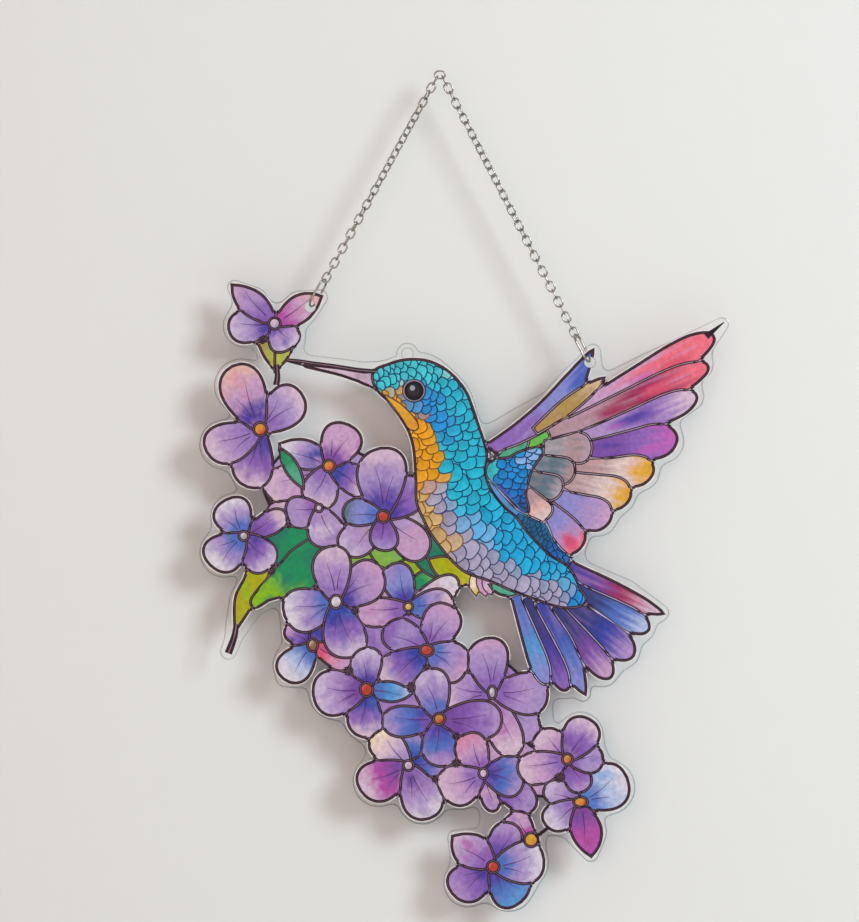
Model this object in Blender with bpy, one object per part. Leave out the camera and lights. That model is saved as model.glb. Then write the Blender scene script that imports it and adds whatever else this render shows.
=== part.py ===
"""Acrylic hanging ornament: a cut clear plate on two connectors and a fine chain.

The plate is one flat sheet of clear acrylic.  Its edge follows a hummingbird at a
hanging cluster of blossoms, with a plain clear border all round and the gaps
inside the picture left filled.  Two drilled holes carry long oval connectors, and
a straight run of small links rises from each to the top link, which goes over a
hook.  X points right, Z up, and the printed face looks towards -Y.  The origin is
the place where the top link bears on the hook.
"""

import math

import bmesh
import bpy
import numpy as np
from mathutils import Matrix, Vector

MM = 0.001

# Plate
PLATE_THICKNESS = 3.0 * MM
BORDER = 1.8 * MM               # clear edge left outside the picture
FILLET = 3.8 * MM               # blend between neighbouring lobes of the border
GRID_STEP = 0.8 * MM            # spacing at which the outline is worked out
OUTLINE_TOLERANCE = 0.07 * MM   # how far the cut edge may leave the true curve
HOLE_DIAMETER = 3.4 * MM
HOLE_SIDES = 28
HOLE_LEFT = (-41.2, -74.7)      # through the top blossom's right petal, in mm
HOLE_RIGHT = (47.6, -92.3)      # through the small leading feather, in mm
TAB_CENTRE = (-10.3, -89.6)     # spare hanging tab on the crown, in mm
TAB_RADIUS = 3.5 * MM
TAB_NECK = 0.8 * MM              # blend between the tab and the border

# Chain and connectors
LINK_LENGTH = 3.9 * MM
LINK_WIDTH = 2.9 * MM
LINK_WIRE = 0.55 * MM
LINK_SIDES = 5
LINK_BENDS = 3                  # straight pieces in each rounded link end
LINK_GRIP = 0.10 * MM           # how far touching links are fused into each other
CONNECTOR_LENGTH = 10.4 * MM
CONNECTOR_WIRE = 0.75 * MM
CONNECTOR_SIDES = 8
CONNECTOR_BENDS = 6
CONNECTOR_TURN = 22.0           # degrees that a connector is twisted on its long axis
FIT_GAP = 0.25 * MM             # clearance between pieces that hang in each other

# Picture outline, in millimetres.  A limb is a row of circles (x, z, radius) with
# straight tangents between them.
PETAL_ROOT = 3.0                # width of a petal where it leaves its blossom
POINTED_BELLY = 0.55            # where along its length a pointed petal is widest

# Blossom centre, then petals as (direction in degrees, reach, width[, tip width]).
BLOSSOMS = {
    "top": ((-52.5, -80.0), [(138, 17.8, 7.2, 1.2), (185, 14.8, 10.0),
                             (30, 17.4, 8.0, 1.4), (-48, 9.6, 9.0)]),
    "upper_left": ((-56.9, -113.6), [(114, 22.0, 14.0), (203, 18.8, 12.4),
                                     (259, 18.8, 11.0), (44, 17.0, 11.0)]),
    "left": ((-62.3, -147.5), [(117, 12.6, 11.4), (26, 15.0, 6.5),
                               (221, 14.3, 12.4), (309, 13.0, 10.5)]),
    "grey_hearted": ((-33.0, -168.5), [(195, 16.7, 13.8)]),
    "white": ((-40.3, -182.2), [(144, 9.6, 5.6), (229, 14.9, 11.5, 3.6), (320, 11.0, 5.5)]),
    "lower_left": ((-23.3, -196.3), [(186, 16.8, 14.0), (269, 15.0, 10.6)]),
    "cream": ((-10.0, -220.4), [(138, 14.5, 9.5), (208, 17.2, 13.0), (292, 17.9, 12.2)]),
    "lower_middle": ((13.8, -222.9), [(206, 14.5, 12.8), (285, 12.3, 4.5)]),
    "bottom": ((16.9, -252.6), [(143, 15.8, 10.4, 1.4), (8, 16.1, 13.2),
                                (309, 14.4, 13.0), (213, 15.6, 12.0), (66, 12.0, 9.0)]),
    "lower_right": ((44.7, -232.0), [(28, 16.8, 14.2), (281, 17.7, 9.6, 1.6),
                                     (214, 13.0, 8.5)]),
    "right": ((40.5, -218.4), [(61, 14.3, 11.0), (3, 11.0, 7.6), (140, 12.0, 8.0)]),
    "middle": ((16.6, -197.2), [(358, 17.6, 14.4)]),
}

# Feathers as (root, tip, width at the belly, width at the tip).
WING_FEATHERS = [
    ((56.0, -106.0), (84.9, -92.0), 8.0, 5.6),
    ((56.0, -113.0), (82.0, -101.8), 10.0, 6.4),
    ((52.0, -118.5), (75.9, -117.0), 9.6, 10.8),
    ((46.0, -127.0), (68.2, -127.0), 7.0, 9.0),
    ((44.0, -132.0), (60.6, -135.4), 7.0, 9.0),
    ((38.0, -136.0), (54.5, -143.2), 6.0, 9.0),
    ((34.0, -138.0), (43.4, -152.6), 6.0, 8.8),
]
TAIL_FEATHERS = [
    ((41.5, -157.0), (71.0, -172.4), 6.2, 2.0),
    ((44.0, -164.0), (66.4, -178.2), 6.0, 6.4),
    ((40.0, -169.0), (61.0, -186.6), 7.0, 9.0),
    ((38.0, -171.0), (53.8, -193.2), 6.0, 7.0),
    ((32.0, -169.0), (45.8, -198.3), 6.6, 1.4),
    ((28.0, -168.0), (40.2, -197.2), 5.0, 6.0),
    ((24.0, -167.0), (34.4, -194.4), 4.0, 5.4),
]
FEATHER_ROOT = 3.0              # width of a feather at its root
FEATHER_BELLY = 0.6             # where along its length a feather is widest

OTHER_LIMBS = {
    "calyx_and_stem": [(-51.6, -86.5, 5.4), (-51.6, -91.5, 2.2), (-51.8, -101.5, 0.9)],
    "beak": [(-47.5, -91.9, 0.8), (-30.0, -95.0, 1.9), (-20.0, -97.6, 2.7)],
    "crown": [(-20.0, -97.6, 2.7), (-13.0, -98.9, 6.2), (-7.3, -102.0, 10.3)],
    "nape": [(-7.3, -102.0, 10.3), (-3.0, -107.6, 12.4), (-0.6, -118.0, 13.2)],
    "leading_feather": [(18.8, -117.0, 4.4), (26.0, -112.4, 4.1), (36.0, -106.0, 3.3),
                        (43.0, -98.8, 3.6), (47.0, -94.2, 2.9), (48.7, -89.0, 0.8)],
    "top_wing_feather": [(50.0, -103.2, 3.8), (66.0, -95.6, 4.2), (79.0, -89.0, 3.8),
                         (85.6, -83.8, 1.9), (89.6, -80.3, 0.5)],
    "rump": [(30.0, -158.0, 9.0), (41.6, -156.6, 2.0)],
    "leaf": [(-47.0, -155.0, 6.0), (-54.0, -163.5, 4.8), (-60.5, -169.0, 2.5),
             (-64.6, -177.5, 1.0), (-67.2, -184.2, 0.9)],
    "leaf_shoulder": [(-57.5, -160.5, 2.8), (-61.8, -168.0, 3.3), (-64.8, -176.0, 0.9)],
    "petal_under_upper_left": [(-56.5, -129.0, 3.0), (-51.5, -134.0, 3.6)],
    "bud_over_left": [(-51.6, -138.2, 2.6), (-49.0, -139.0, 3.0)],
    "petal_under_middle": [(27.0, -208.0, 3.2), (31.2, -204.6, 2.6)],
    "petal_under_lower_middle": [(20.0, -230.0, 4.0), (27.0, -229.5, 4.0)],
    "bottom_stalk": [(17.2, -238.2, 2.4), (24.5, -238.5, 4.0), (29.2, -244.0, 2.2)],
}


def clear_scene():
    """Remove every object that the file starts with."""
    for obj in list(bpy.data.objects):
        bpy.data.objects.remove(obj, do_unlink=True)


def make_material(name, colour, roughness, metallic=0.0, alpha=1.0):
    """Return a Principled material with these plain values."""
    material = bpy.data.materials.new(name)
    material.use_nodes = True
    shader = material.node_tree.nodes["Principled BSDF"]
    shader.inputs["Base Color"].default_value = (*colour, 1.0)
    shader.inputs["Roughness"].default_value = roughness
    shader.inputs["Metallic"].default_value = metallic
    shader.inputs["Alpha"].default_value = alpha
    material.diffuse_color = (*colour, alpha)
    return material


def link_object(name, mesh, material):
    """Put a mesh into the scene as a named object with one material."""
    mesh.materials.append(material)
    obj = bpy.data.objects.new(name, mesh)
    bpy.context.scene.collection.objects.link(obj)
    return obj


# --- plate outline -------------------------------------------------------------

def petal_limb(centre, direction, reach, width, tip_width=None):
    """Return a petal's circles: root, belly and, on a pointed petal, the tip."""
    along = Vector((math.cos(math.radians(direction)), math.sin(math.radians(direction))))
    stations = [(0.0, PETAL_ROOT / 2)]
    if tip_width is None:
        stations.append((reach - width / 2, width / 2))
    else:
        stations.append((POINTED_BELLY * reach, width / 2))
        stations.append((reach - tip_width / 2, tip_width / 2))
    return [(centre[0] + along.x * d, centre[1] + along.y * d, r) for d, r in stations]


def feather_limb(root, tip, belly_width, tip_width):
    """Return a feather's circles: a narrow root, the belly and the tip."""
    start, end = Vector(root), Vector(tip)
    along = (end - start).normalized()
    end -= along * (tip_width / 2)
    belly = start.lerp(end, FEATHER_BELLY)
    return [(*start, FEATHER_ROOT / 2), (*belly, belly_width / 2), (*end, tip_width / 2)]


def picture_limbs():
    """Return every limb of the picture's outline, in metres."""
    limbs = []
    for centre, petals in BLOSSOMS.values():
        limbs += [petal_limb(centre, *petal) for petal in petals]
    limbs += [feather_limb(*feather) for feather in WING_FEATHERS + TAIL_FEATHERS]
    limbs += list(OTHER_LIMBS.values())
    return [[(x * MM, z * MM, r * MM) for x, z, r in limb] for limb in limbs]


def taper_distance(x, z, first, second):
    """Return the signed distance to two circles joined by their tangents."""
    x0, z0, r0 = first
    x1, z1, r1 = second
    length = math.hypot(x1 - x0, z1 - z0)
    ux, uz = (x1 - x0) / length, (z1 - z0) / length
    along = (x - x0) * ux + (z - z0) * uz
    across = np.abs((z - z0) * ux - (x - x0) * uz)
    slope = (r0 - r1) / length
    cosine = math.sqrt(1.0 - slope * slope)
    station = cosine * along - slope * across
    side = cosine * across + slope * along - r0
    near = np.hypot(across, along) - r0
    far = np.hypot(across, along - length) - r1
    return np.where(station < 0, near, np.where(station > cosine * length, far, side))


def blend_union(first, second, radius):
    """Return the union of two distance fields, rounded where they meet."""
    overlap = np.maximum(radius - np.abs(first - second), 0.0)
    return np.minimum(first, second) - overlap * overlap / (4.0 * radius)


def plate_field(x, z):
    """Return the signed distance from the plate's cut edge, negative inside."""
    field = None
    for limb in picture_limbs():
        pieces = [taper_distance(x, z, a, b) for a, b in zip(limb, limb[1:])]
        distance = np.minimum.reduce(pieces)
        field = distance if field is None else blend_union(field, distance, FILLET)
    tab = np.hypot(x - TAB_CENTRE[0] * MM, z - TAB_CENTRE[1] * MM) - TAB_RADIUS
    return blend_union(field - BORDER, tab, TAB_NECK)


def longest_loop(bm):
    """Return the corner points of a flat mesh's longest boundary loop, in order."""
    best, seen = [], set()
    for start in (edge for edge in bm.edges if edge.is_boundary):
        if start in seen:
            continue
        loop, edge, vert = [], start, start.verts[0]
        while edge not in seen:
            seen.add(edge)
            loop.append(vert.co.copy())
            vert = edge.other_vert(vert)
            edge = next(e for e in vert.link_edges if e.is_boundary and e is not edge)
        best = max(best, loop, key=len)
    return best


def thin_out(points, tolerance):
    """Drop the points that lie within the tolerance of the line past them."""
    if len(points) < 3:
        return points
    start, end = points[0], points[-1]
    chord = (end - start).normalized()
    offsets = [abs(chord.cross(p - start)) for p in points]
    widest = max(range(len(points)), key=offsets.__getitem__)
    if offsets[widest] <= tolerance:
        return [start, end]
    return thin_out(points[:widest + 1], tolerance)[:-1] + thin_out(points[widest:], tolerance)


def plate_outline():
    """Work out the plate's cut edge: contour the field, keep the outer loop."""
    limbs = np.array([circle for limb in picture_limbs() for circle in limb])
    margin = BORDER + 4 * GRID_STEP
    low = (limbs[:, :2] - limbs[:, 2:]).min(axis=0) - margin
    high = (limbs[:, :2] + limbs[:, 2:]).max(axis=0) + margin
    xs = np.arange(low[0], high[0], GRID_STEP)
    zs = np.arange(low[1], high[1], GRID_STEP)
    grid_x, grid_z = np.meshgrid(xs, zs, indexing="ij")
    field = plate_field(grid_x, grid_z)

    bm = bmesh.new()
    bmesh.ops.create_grid(bm, x_segments=len(xs) - 1, y_segments=len(zs) - 1, size=0.5)
    for vert in bm.verts:
        column = round((vert.co.x + 0.5) * (len(xs) - 1))
        row = round((vert.co.y + 0.5) * (len(zs) - 1))
        vert.co = (xs[column], zs[row], field[column, row])
    bmesh.ops.bisect_plane(bm, geom=bm.verts[:] + bm.edges[:] + bm.faces[:],
                           dist=1e-7, plane_co=(0, 0, 0), plane_no=(0, 0, 1),
                           clear_outer=True)
    loop = [point.to_2d() for point in longest_loop(bm)]
    bm.free()
    half = len(loop) // 2
    return (thin_out(loop[:half + 1], OUTLINE_TOLERANCE)[:-1]
            + thin_out(loop[half:] + loop[:1], OUTLINE_TOLERANCE)[:-1])


def build_plate(material):
    """Extrude the outline to the sheet's thickness and drill the three holes."""
    bm = bmesh.new()
    front = [bm.verts.new((p.x, -PLATE_THICKNESS / 2, p.y)) for p in plate_outline()]
    face = bm.faces.new(front)
    sweep = bmesh.ops.extrude_face_region(bm, geom=[face])
    moved = [item for item in sweep["geom"] if isinstance(item, bmesh.types.BMVert)]
    bmesh.ops.translate(bm, verts=moved, vec=(0, PLATE_THICKNESS, 0))
    bmesh.ops.recalc_face_normals(bm, faces=bm.faces[:])
    mesh = bpy.data.meshes.new("acrylic_plate")
    bm.to_mesh(mesh)
    bm.free()
    plate = link_object("acrylic_plate", mesh, material)
    for centre in (HOLE_LEFT, HOLE_RIGHT, TAB_CENTRE):
        drill_hole(plate, centre)
    return plate


def drill_hole(plate, centre):
    """Cut one round hole through the plate at a point given in millimetres."""
    place = Matrix.Translation((centre[0] * MM, 0, centre[1] * MM))
    bm = bmesh.new()
    bmesh.ops.create_cone(bm, cap_ends=True, segments=HOLE_SIDES,
                          radius1=HOLE_DIAMETER / 2, radius2=HOLE_DIAMETER / 2,
                          depth=3 * PLATE_THICKNESS,
                          matrix=place @ Matrix.Rotation(math.pi / 2, 4, "X"))
    mesh = bpy.data.meshes.new("drill")
    bm.to_mesh(mesh)
    bm.free()
    drill = bpy.data.objects.new("drill", mesh)
    bpy.context.scene.collection.objects.link(drill)
    drill.hide_render = True
    drill.display_type = "WIRE"
    cut = plate.modifiers.new("hole", "BOOLEAN")
    cut.operation = "DIFFERENCE"
    cut.solver = "EXACT"
    cut.object = drill


# --- chain ---------------------------------------------------------------------

def oval_ring(bm, frame, length, width, wire, sides, bends):
    """Add a closed oval of round wire to bm.

    The oval lies in the frame's X-Y plane, long axis along X, and its length and
    width are measured outside the wire.
    """
    radius = (width - wire) / 2
    shift = (length - width) / 2
    corner = wire / 2 / math.cos(math.pi / sides)    # flats lie at the wire's radius
    rings = []
    for end in (1, -1):
        for step in range(bends + 1):
            turn = math.pi * (step / bends - 0.5) + (0 if end == 1 else math.pi)
            outward = Vector((math.cos(turn), math.sin(turn), 0))
            middle = Vector((end * shift, 0, 0)) + outward * radius
            ring = []
            for side in range(sides):
                # The first flat faces inwards, where the next link bears.
                angle = math.pi + 2 * math.pi * (side + 0.5) / sides
                offset = outward * math.cos(angle) + Vector((0, 0, math.sin(angle)))
                ring.append(bm.verts.new(frame @ (middle + offset * corner)))
            rings.append(ring)
    for ring, following in zip(rings, rings[1:] + rings[:1]):
        for side in range(sides):
            after = (side + 1) % sides
            bm.faces.new((ring[side], ring[after], following[after], following[side]))


def run_frame(start, direction, distance, twist):
    """Return the frame of a link at this distance along a run.

    Its X axis lies along the run, and twist turns it round that axis, in degrees,
    from lying flat in the plate's plane.
    """
    along = direction.normalized()
    depth = Vector((0, 1, 0))
    turned = Matrix((along, depth.cross(along), depth)).transposed().to_4x4()
    place = Matrix.Translation(start + along * distance)
    return place @ turned @ Matrix.Rotation(math.radians(twist), 4, "X")


def mesh_object(name, bm, material):
    """Turn a bmesh of rounded wire into a smooth-shaded object."""
    bmesh.ops.recalc_face_normals(bm, faces=bm.faces[:])
    mesh = bpy.data.meshes.new(name)
    bm.to_mesh(mesh)
    bm.free()
    mesh.shade_smooth()
    return link_object(name, mesh, material)


def build_link_run(name, start, end, material):
    """Build one straight run of links, fused where neighbours touch.

    The first link stands on edge and the last lies flat, by turns.  The links are
    stretched by a hair so that a whole number of them fits between start and end.
    """
    pitch_wanted = LINK_LENGTH - 2 * LINK_WIRE - LINK_GRIP
    span = (end - start).length - LINK_LENGTH
    steps = 2 * round((span / pitch_wanted - 1) / 2) + 1
    pitch = span / steps
    length = LINK_LENGTH + pitch - pitch_wanted
    sets = [bmesh.new(), bmesh.new()]
    for index in range(steps + 1):
        distance = LINK_LENGTH / 2 + index * pitch
        standing = (index + 1) % 2
        frame = run_frame(start, end - start, distance, 90 * standing)
        oval_ring(sets[standing], frame, length, LINK_WIDTH, LINK_WIRE, LINK_SIDES,
                  LINK_BENDS)
    run = mesh_object(name, sets[0], material)
    standing_links = mesh_object(name + "_standing", sets[1], material)
    join = run.modifiers.new("join", "BOOLEAN")
    join.operation = "UNION"
    join.solver = "EXACT"
    join.object = standing_links
    bpy.context.view_layer.objects.active = run
    bpy.ops.object.modifier_apply(modifier=join.name)
    bpy.data.objects.remove(standing_links, do_unlink=True)
    return run


def build_connector(name, hole, along, material):
    """Build the long oval that passes through a plate hole.

    It hangs along the given direction, up the chain's line, and the place of its
    upper inner end on that line is returned.
    """
    clear = PLATE_THICKNESS / 2 + CONNECTOR_WIRE / 2 + FIT_GAP
    width = 2 * clear / math.cos(math.radians(CONNECTOR_TURN)) + CONNECTOR_WIRE
    # The wire leaves the hole aslant at the plate's faces, below the hole's rim.
    bend = (width - CONNECTOR_WIRE) / 2
    half = PLATE_THICKNESS / 2 / math.cos(math.radians(CONNECTOR_TURN))
    slant = math.asin(half / bend)
    rise = bend * (1 - math.cos(slant))
    wire_rise = CONNECTOR_WIRE / 2 / math.cos(slant)
    lowest = HOLE_DIAMETER / 2 - wire_rise - FIT_GAP - rise
    centre = lowest - CONNECTOR_WIRE / 2 + CONNECTOR_LENGTH / 2
    frame = run_frame(hole, along, centre, 90 - CONNECTOR_TURN)
    bm = bmesh.new()
    oval_ring(bm, frame, CONNECTOR_LENGTH, width, CONNECTOR_WIRE, CONNECTOR_SIDES,
              CONNECTOR_BENDS)
    mesh_object(name, bm, material)
    return hole + along * (centre + CONNECTOR_LENGTH / 2 - CONNECTOR_WIRE)


def build_chain(steel):
    """Build the top link, both connectors and the two runs of links."""
    # The top link lies level, with its upper inside at the origin.
    bend = LINK_WIDTH / 2 - LINK_WIRE
    middle = Vector((0, 0, -bend))
    bm = bmesh.new()
    oval_ring(bm, run_frame(middle, Vector((1, 0, 0)), 0, 0), LINK_LENGTH, LINK_WIDTH,
              LINK_WIRE, CONNECTOR_SIDES, CONNECTOR_BENDS)
    mesh_object("top_link", bm, steel)

    overlap = FIT_GAP + LINK_WIRE   # how far a link reaches into the one it hangs in
    for side, name, hole in ((-1, "left", HOLE_LEFT), (1, "right", HOLE_RIGHT)):
        hole_point = Vector((hole[0] * MM, 0, hole[1] * MM))
        bend_centre = middle + Vector((side * (LINK_LENGTH - LINK_WIDTH) / 2, 0, 0))
        down = (hole_point - bend_centre).normalized()
        inner_end = build_connector(f"connector_{name}", hole_point, -down, steel)
        build_link_run(f"chain_{name}", bend_centre + down * (bend - overlap),
                       inner_end + down * overlap, steel)


def main():
    """Build the ornament."""
    clear_scene()
    acrylic = make_material("clear_acrylic", (0.86, 0.88, 0.88), 0.05, alpha=0.35)
    steel = make_material("nickel_plated_steel", (0.55, 0.55, 0.54), 0.3, metallic=1.0)
    build_plate(acrylic)
    build_chain(steel)


main()
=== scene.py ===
"""Looks of the acrylic hanging ornament: printed clear plate, connectors, chain and stage."""

import logging
import math
from dataclasses import dataclass, field, replace
from enum import Enum, IntEnum
from typing import Any, Iterable, Sequence

import bmesh
import bpy
from mathutils import Matrix, Vector
from mathutils.bvhtree import BVHTree
from mathutils.geometry import delaunay_2d_cdt


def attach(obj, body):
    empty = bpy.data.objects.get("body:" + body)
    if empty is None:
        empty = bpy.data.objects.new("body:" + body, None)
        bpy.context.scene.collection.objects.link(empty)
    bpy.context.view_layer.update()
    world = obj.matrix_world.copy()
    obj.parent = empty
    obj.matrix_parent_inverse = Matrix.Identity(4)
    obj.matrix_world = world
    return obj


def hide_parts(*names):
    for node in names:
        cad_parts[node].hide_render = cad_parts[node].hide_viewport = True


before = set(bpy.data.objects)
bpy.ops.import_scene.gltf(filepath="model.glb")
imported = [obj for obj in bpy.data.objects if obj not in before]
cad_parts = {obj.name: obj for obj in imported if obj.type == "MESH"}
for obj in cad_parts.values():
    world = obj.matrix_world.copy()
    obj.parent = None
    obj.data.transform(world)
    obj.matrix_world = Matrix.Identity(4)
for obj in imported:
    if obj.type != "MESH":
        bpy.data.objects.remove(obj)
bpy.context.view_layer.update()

MM = 0.001
LOG = logging.getLogger("ornament")
HOLES = {"left": (-41.2, -74.7), "right": (47.6, -92.3)}    # the drilled holes' middles
DARK_INK = "#2b1d29"

Point = Sequence[float]         # x and z in millimetres; a third value marks a sharp corner
Loop = list[Vector]
Label = tuple[str, int, int]    # what a loop is of, its index there, and its ring
Colour = tuple[float, float, float, float]
Tree = bpy.types.NodeTree
Socket = bpy.types.NodeSocket


class Ink(Enum):
    """Inks of the print, as sRGB hex values."""

    CREAM = "#e6d6b8"
    WHITE = "#d2ced8"
    ICE = "#a9b9dc"
    PALE = "#c3b4d0"
    LILAC = "#9f8bc0"
    MAUVE = "#a68bbf"
    VIOLET = "#8360b0"
    PURPLE = "#6f479a"
    INDIGO = "#453a9a"
    DEEP = "#2f3f9e"
    BLUE = "#4b6cba"
    SKY = "#4f93cf"
    LAGOON = "#2fb3bd"
    OCEAN = "#2470b4"
    DEEPSEA = "#1d5f7c"
    MAGENTA = "#a84aa0"
    PINK = "#bc98be"
    BLUSH = "#cbb4c8"
    ROSE = "#cb87a6"
    CRIMSON = "#982556"
    RED = "#d04f66"
    PEACH = "#d8ada6"
    TAN = "#aa94a0"
    BROWN = "#86604a"
    ORANGE = "#cf8430"
    RUST = "#b23c28"
    AMBER = "#d7a026"
    YELLOW = "#cdb23c"
    OLIVE = "#a5a610"
    LIME = "#7fb412"
    MOSS = "#7cab4a"
    LEAF = "#138a58"
    TEAL = "#1c7460"
    SEA = "#4fa588"
    SLATE = "#58707e"
    GREY = "#a39ea6"
    MILK = "#d3c3c0"
    CORAL = "#e0697c"
    ORCHID = "#b45ab0"
    KHAKI = "#a68b48"
    SAND = "#cbb28c"
    DUSK = "#a68a90"
    PERI = "#7f86c8"
    COBALT = "#3559b2"
    FERN = "#5cb64e"
    CERISE = "#c8486f"
    NIGHT = "#241a2a"
    NAVY = "#28386e"
    TURQUOISE = "#62bfc8"
    FOAM = "#aed4cc"
    AQUA = "#38b2ca"
    AZURE = "#268fcb"
    LIGHTSKY = "#3aaad4"
    GOLD = "#d8a02c"
    STRAW = "#c8ae7c"
    HEATHER = "#a8a5bb"
    HAZE = "#8fb0d6"


def linear(hex_value: str) -> Colour:
    """Turn an sRGB hex value into linear red, green, blue and alpha.

    Args:
        hex_value: the colour, such as "#a0b0c0".

    Returns:
        The linear colour, with an alpha of 1.
    """
    parts = [int(hex_value[i:i + 2], 16) / 255 for i in (1, 3, 5)]
    bent = [c / 12.92 if c <= 0.04045 else ((c + 0.055) / 1.055) ** 2.4 for c in parts]
    return (bent[0], bent[1], bent[2], 1.0)


# --- small mesh and node tools -------------------------------------------------

CURVE_STEP = 0.6                # longest stretch of a smooth curve, in millimetres
STROKE_STEP = 0.8               # and of a pen stroke's or an axis's middle line
SHARPEST = 0.6                  # limits how far an offset reaches at a sharp corner
PROBE = 0.02                    # how far beside an edge a loop's inside is looked for
CIRCLE_SIDES = 28


def add_node(tree: Tree, kind: str, settings: dict[str | int, Any] | None = None,
             **links: Socket) -> bpy.types.Node:
    """Add a node with its settings and links.

    Args:
        tree: the node tree.
        kind: the node's type name.
        settings: values for the node's own properties and, by name or number, its inputs.
        links: output sockets by input name, or by number as in_0.

    Returns:
        The new node.
    """
    node = tree.nodes.new(kind)
    for key, value in (settings or {}).items():
        if isinstance(key, int) or key in node.inputs:
            node.inputs[key].default_value = value
        else:
            setattr(node, key, value)
    for key, socket in links.items():
        target = int(key[3:]) if key.startswith("in_") else key
        tree.links.new(socket, node.inputs[target])
    return node


def new_material(name: str, **inputs: Any) -> tuple[bpy.types.Material, Tree, bpy.types.Node]:
    """Make a material.

    Args:
        name: its name.
        inputs: values of the Principled shader, with spaces written as underscores.

    Returns:
        The material, its nodes and its Principled shader.
    """
    material = bpy.data.materials.new(name)
    material.use_nodes = True
    shader = material.node_tree.nodes["Principled BSDF"]
    for key, value in inputs.items():
        shader.inputs[key.replace("_", " ")].default_value = value
    return material, material.node_tree, shader


def mottle(tree: Tree, ink: Socket, noise: dict[str, float], darkest: float,
           lightest: float) -> Socket:
    """Make an ink a little darker and lighter in small patches, as print is close to.

    Args:
        tree: the material's nodes.
        ink: the even ink.
        noise: the patches' scale, detail, roughness and distortion.
        darkest: how bright the darkest patches are.
        lightest: how bright the lightest are.

    Returns:
        The mottled ink.
    """
    place = add_node(tree, "ShaderNodeTexCoord").outputs["Object"]
    patches = add_node(tree, "ShaderNodeTexNoise", noise, Vector=place)
    light = add_node(tree, "ShaderNodeMapRange", {"From Min": 0.3, "From Max": 0.7,
                                                  "To Min": darkest, "To Max": lightest},
                     Value=patches.outputs["Fac"])
    final = add_node(tree, "ShaderNodeMix",
                     {"data_type": "RGBA", "blend_type": "MULTIPLY", 0: 1.0},
                     in_6=ink, in_7=light.outputs[0])
    return final.outputs[2]


def deselect_all() -> None:
    """Leave no object selected."""
    for obj in bpy.context.selected_objects:
        obj.select_set(False)


def add_object(name: str, data: bpy.types.ID) -> bpy.types.Object:
    """Put a mesh, light or camera into the scene at the origin.

    Args:
        name: the object's name.
        data: what it holds.

    Returns:
        The new object.
    """
    obj = bpy.data.objects.new(name, data)
    bpy.context.scene.collection.objects.link(obj)
    return obj


def around(ring: Sequence[Any]) -> Iterable[tuple[Any, Any]]:
    """Pair each member of a ring with the next."""
    return zip(ring, [*ring[1:], *ring[:1]])


def smooth_loop(points: Sequence[Point], step: float = CURVE_STEP, closed: bool = True
                ) -> Loop:
    """Draw a smooth curve through a few points.

    Args:
        points: x, z and, at a sharp corner, a third value, in millimetres.
        step: longest distance between the curve's own points.
        closed: whether the curve returns to its first point.

    Returns:
        The curve's points.
    """
    spots = [Vector(p[:2]) for p in points]
    corner = [len(p) > 2 for p in points]
    count = len(spots)
    curve: Loop = []
    for i in range(count if closed else count - 1):
        a, b = spots[i], spots[(i + 1) % count]
        chord = (b - a).length
        before = spots[i - 1] if closed or i else a - (b - a)
        after = spots[(i + 2) % count] if closed or i + 2 < count else b + (b - a)
        start = (b - a) if corner[i] else (b - before).normalized() * chord
        end = (b - a) if corner[(i + 1) % count] else (after - a).normalized() * chord
        pieces = max(2, math.ceil(chord / step))
        for k in range(pieces):
            t = k / pieces
            curve.append(a * (2 * t ** 3 - 3 * t ** 2 + 1) + start * (t ** 3 - 2 * t ** 2 + t)
                         + b * (3 * t ** 2 - 2 * t ** 3) + end * (t ** 3 - t ** 2))
    if not closed:
        curve.append(spots[-1])
    return curve


def signed_area(loop: Loop) -> float:
    """Return a loop's area, positive where it runs anticlockwise."""
    return sum(a.x * b.y - b.x * a.y for a, b in around(loop)) / 2


def offset_loop(loop: Loop, distance: float) -> Loop:
    """Move an anticlockwise loop outwards, and drop the knots that this ties.

    Args:
        loop: the closed curve.
        distance: how far to move it, negative for inwards.

    Returns:
        The moved loop, starting on a long side clear of any knot.
    """
    count = len(loop)
    normals = []
    for a, b in around(loop):
        edge = (b - a).normalized()
        normals.append(Vector((edge.y, -edge.x)))
    moved = []
    for i, spot in enumerate(loop):
        bisector = (normals[i - 1] + normals[i]).normalized()
        reach = distance / max(SHARPEST, bisector.dot(normals[i]))
        moved.append(spot + bisector * reach)
    keep = [True] * count
    for i in range(count):
        after = (i + 1) % count
        if (moved[after] - moved[i]).dot(loop[after] - loop[i]) <= 0:
            middle = (moved[i] + moved[after]) / 2
            moved[i], moved[after] = middle, middle.copy()
            keep[i] = False
    kept = [spot for spot, stays in zip(moved, keep) if stays]
    return start_well(kept)


def start_well(loop: Loop) -> Loop:
    """Turn a loop's points round so that it starts on a long side, clear of any knot.

    Args:
        loop: the closed curve.

    Returns:
        The same curve from its new first point.
    """
    order = sorted(range(len(loop)), key=lambda i: -(loop[i] - loop[i - 1]).length)
    for i in order:
        along = (loop[i] - loop[i - 1]).normalized()
        probe = (loop[i] + loop[i - 1]) / 2 + Vector((-along.y, along.x)) * PROBE
        if inside(probe, loop, 0.0):
            return loop[i - 1:] + loop[:i - 1] if i else loop[-1:] + loop[:-1]
    return loop


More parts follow.
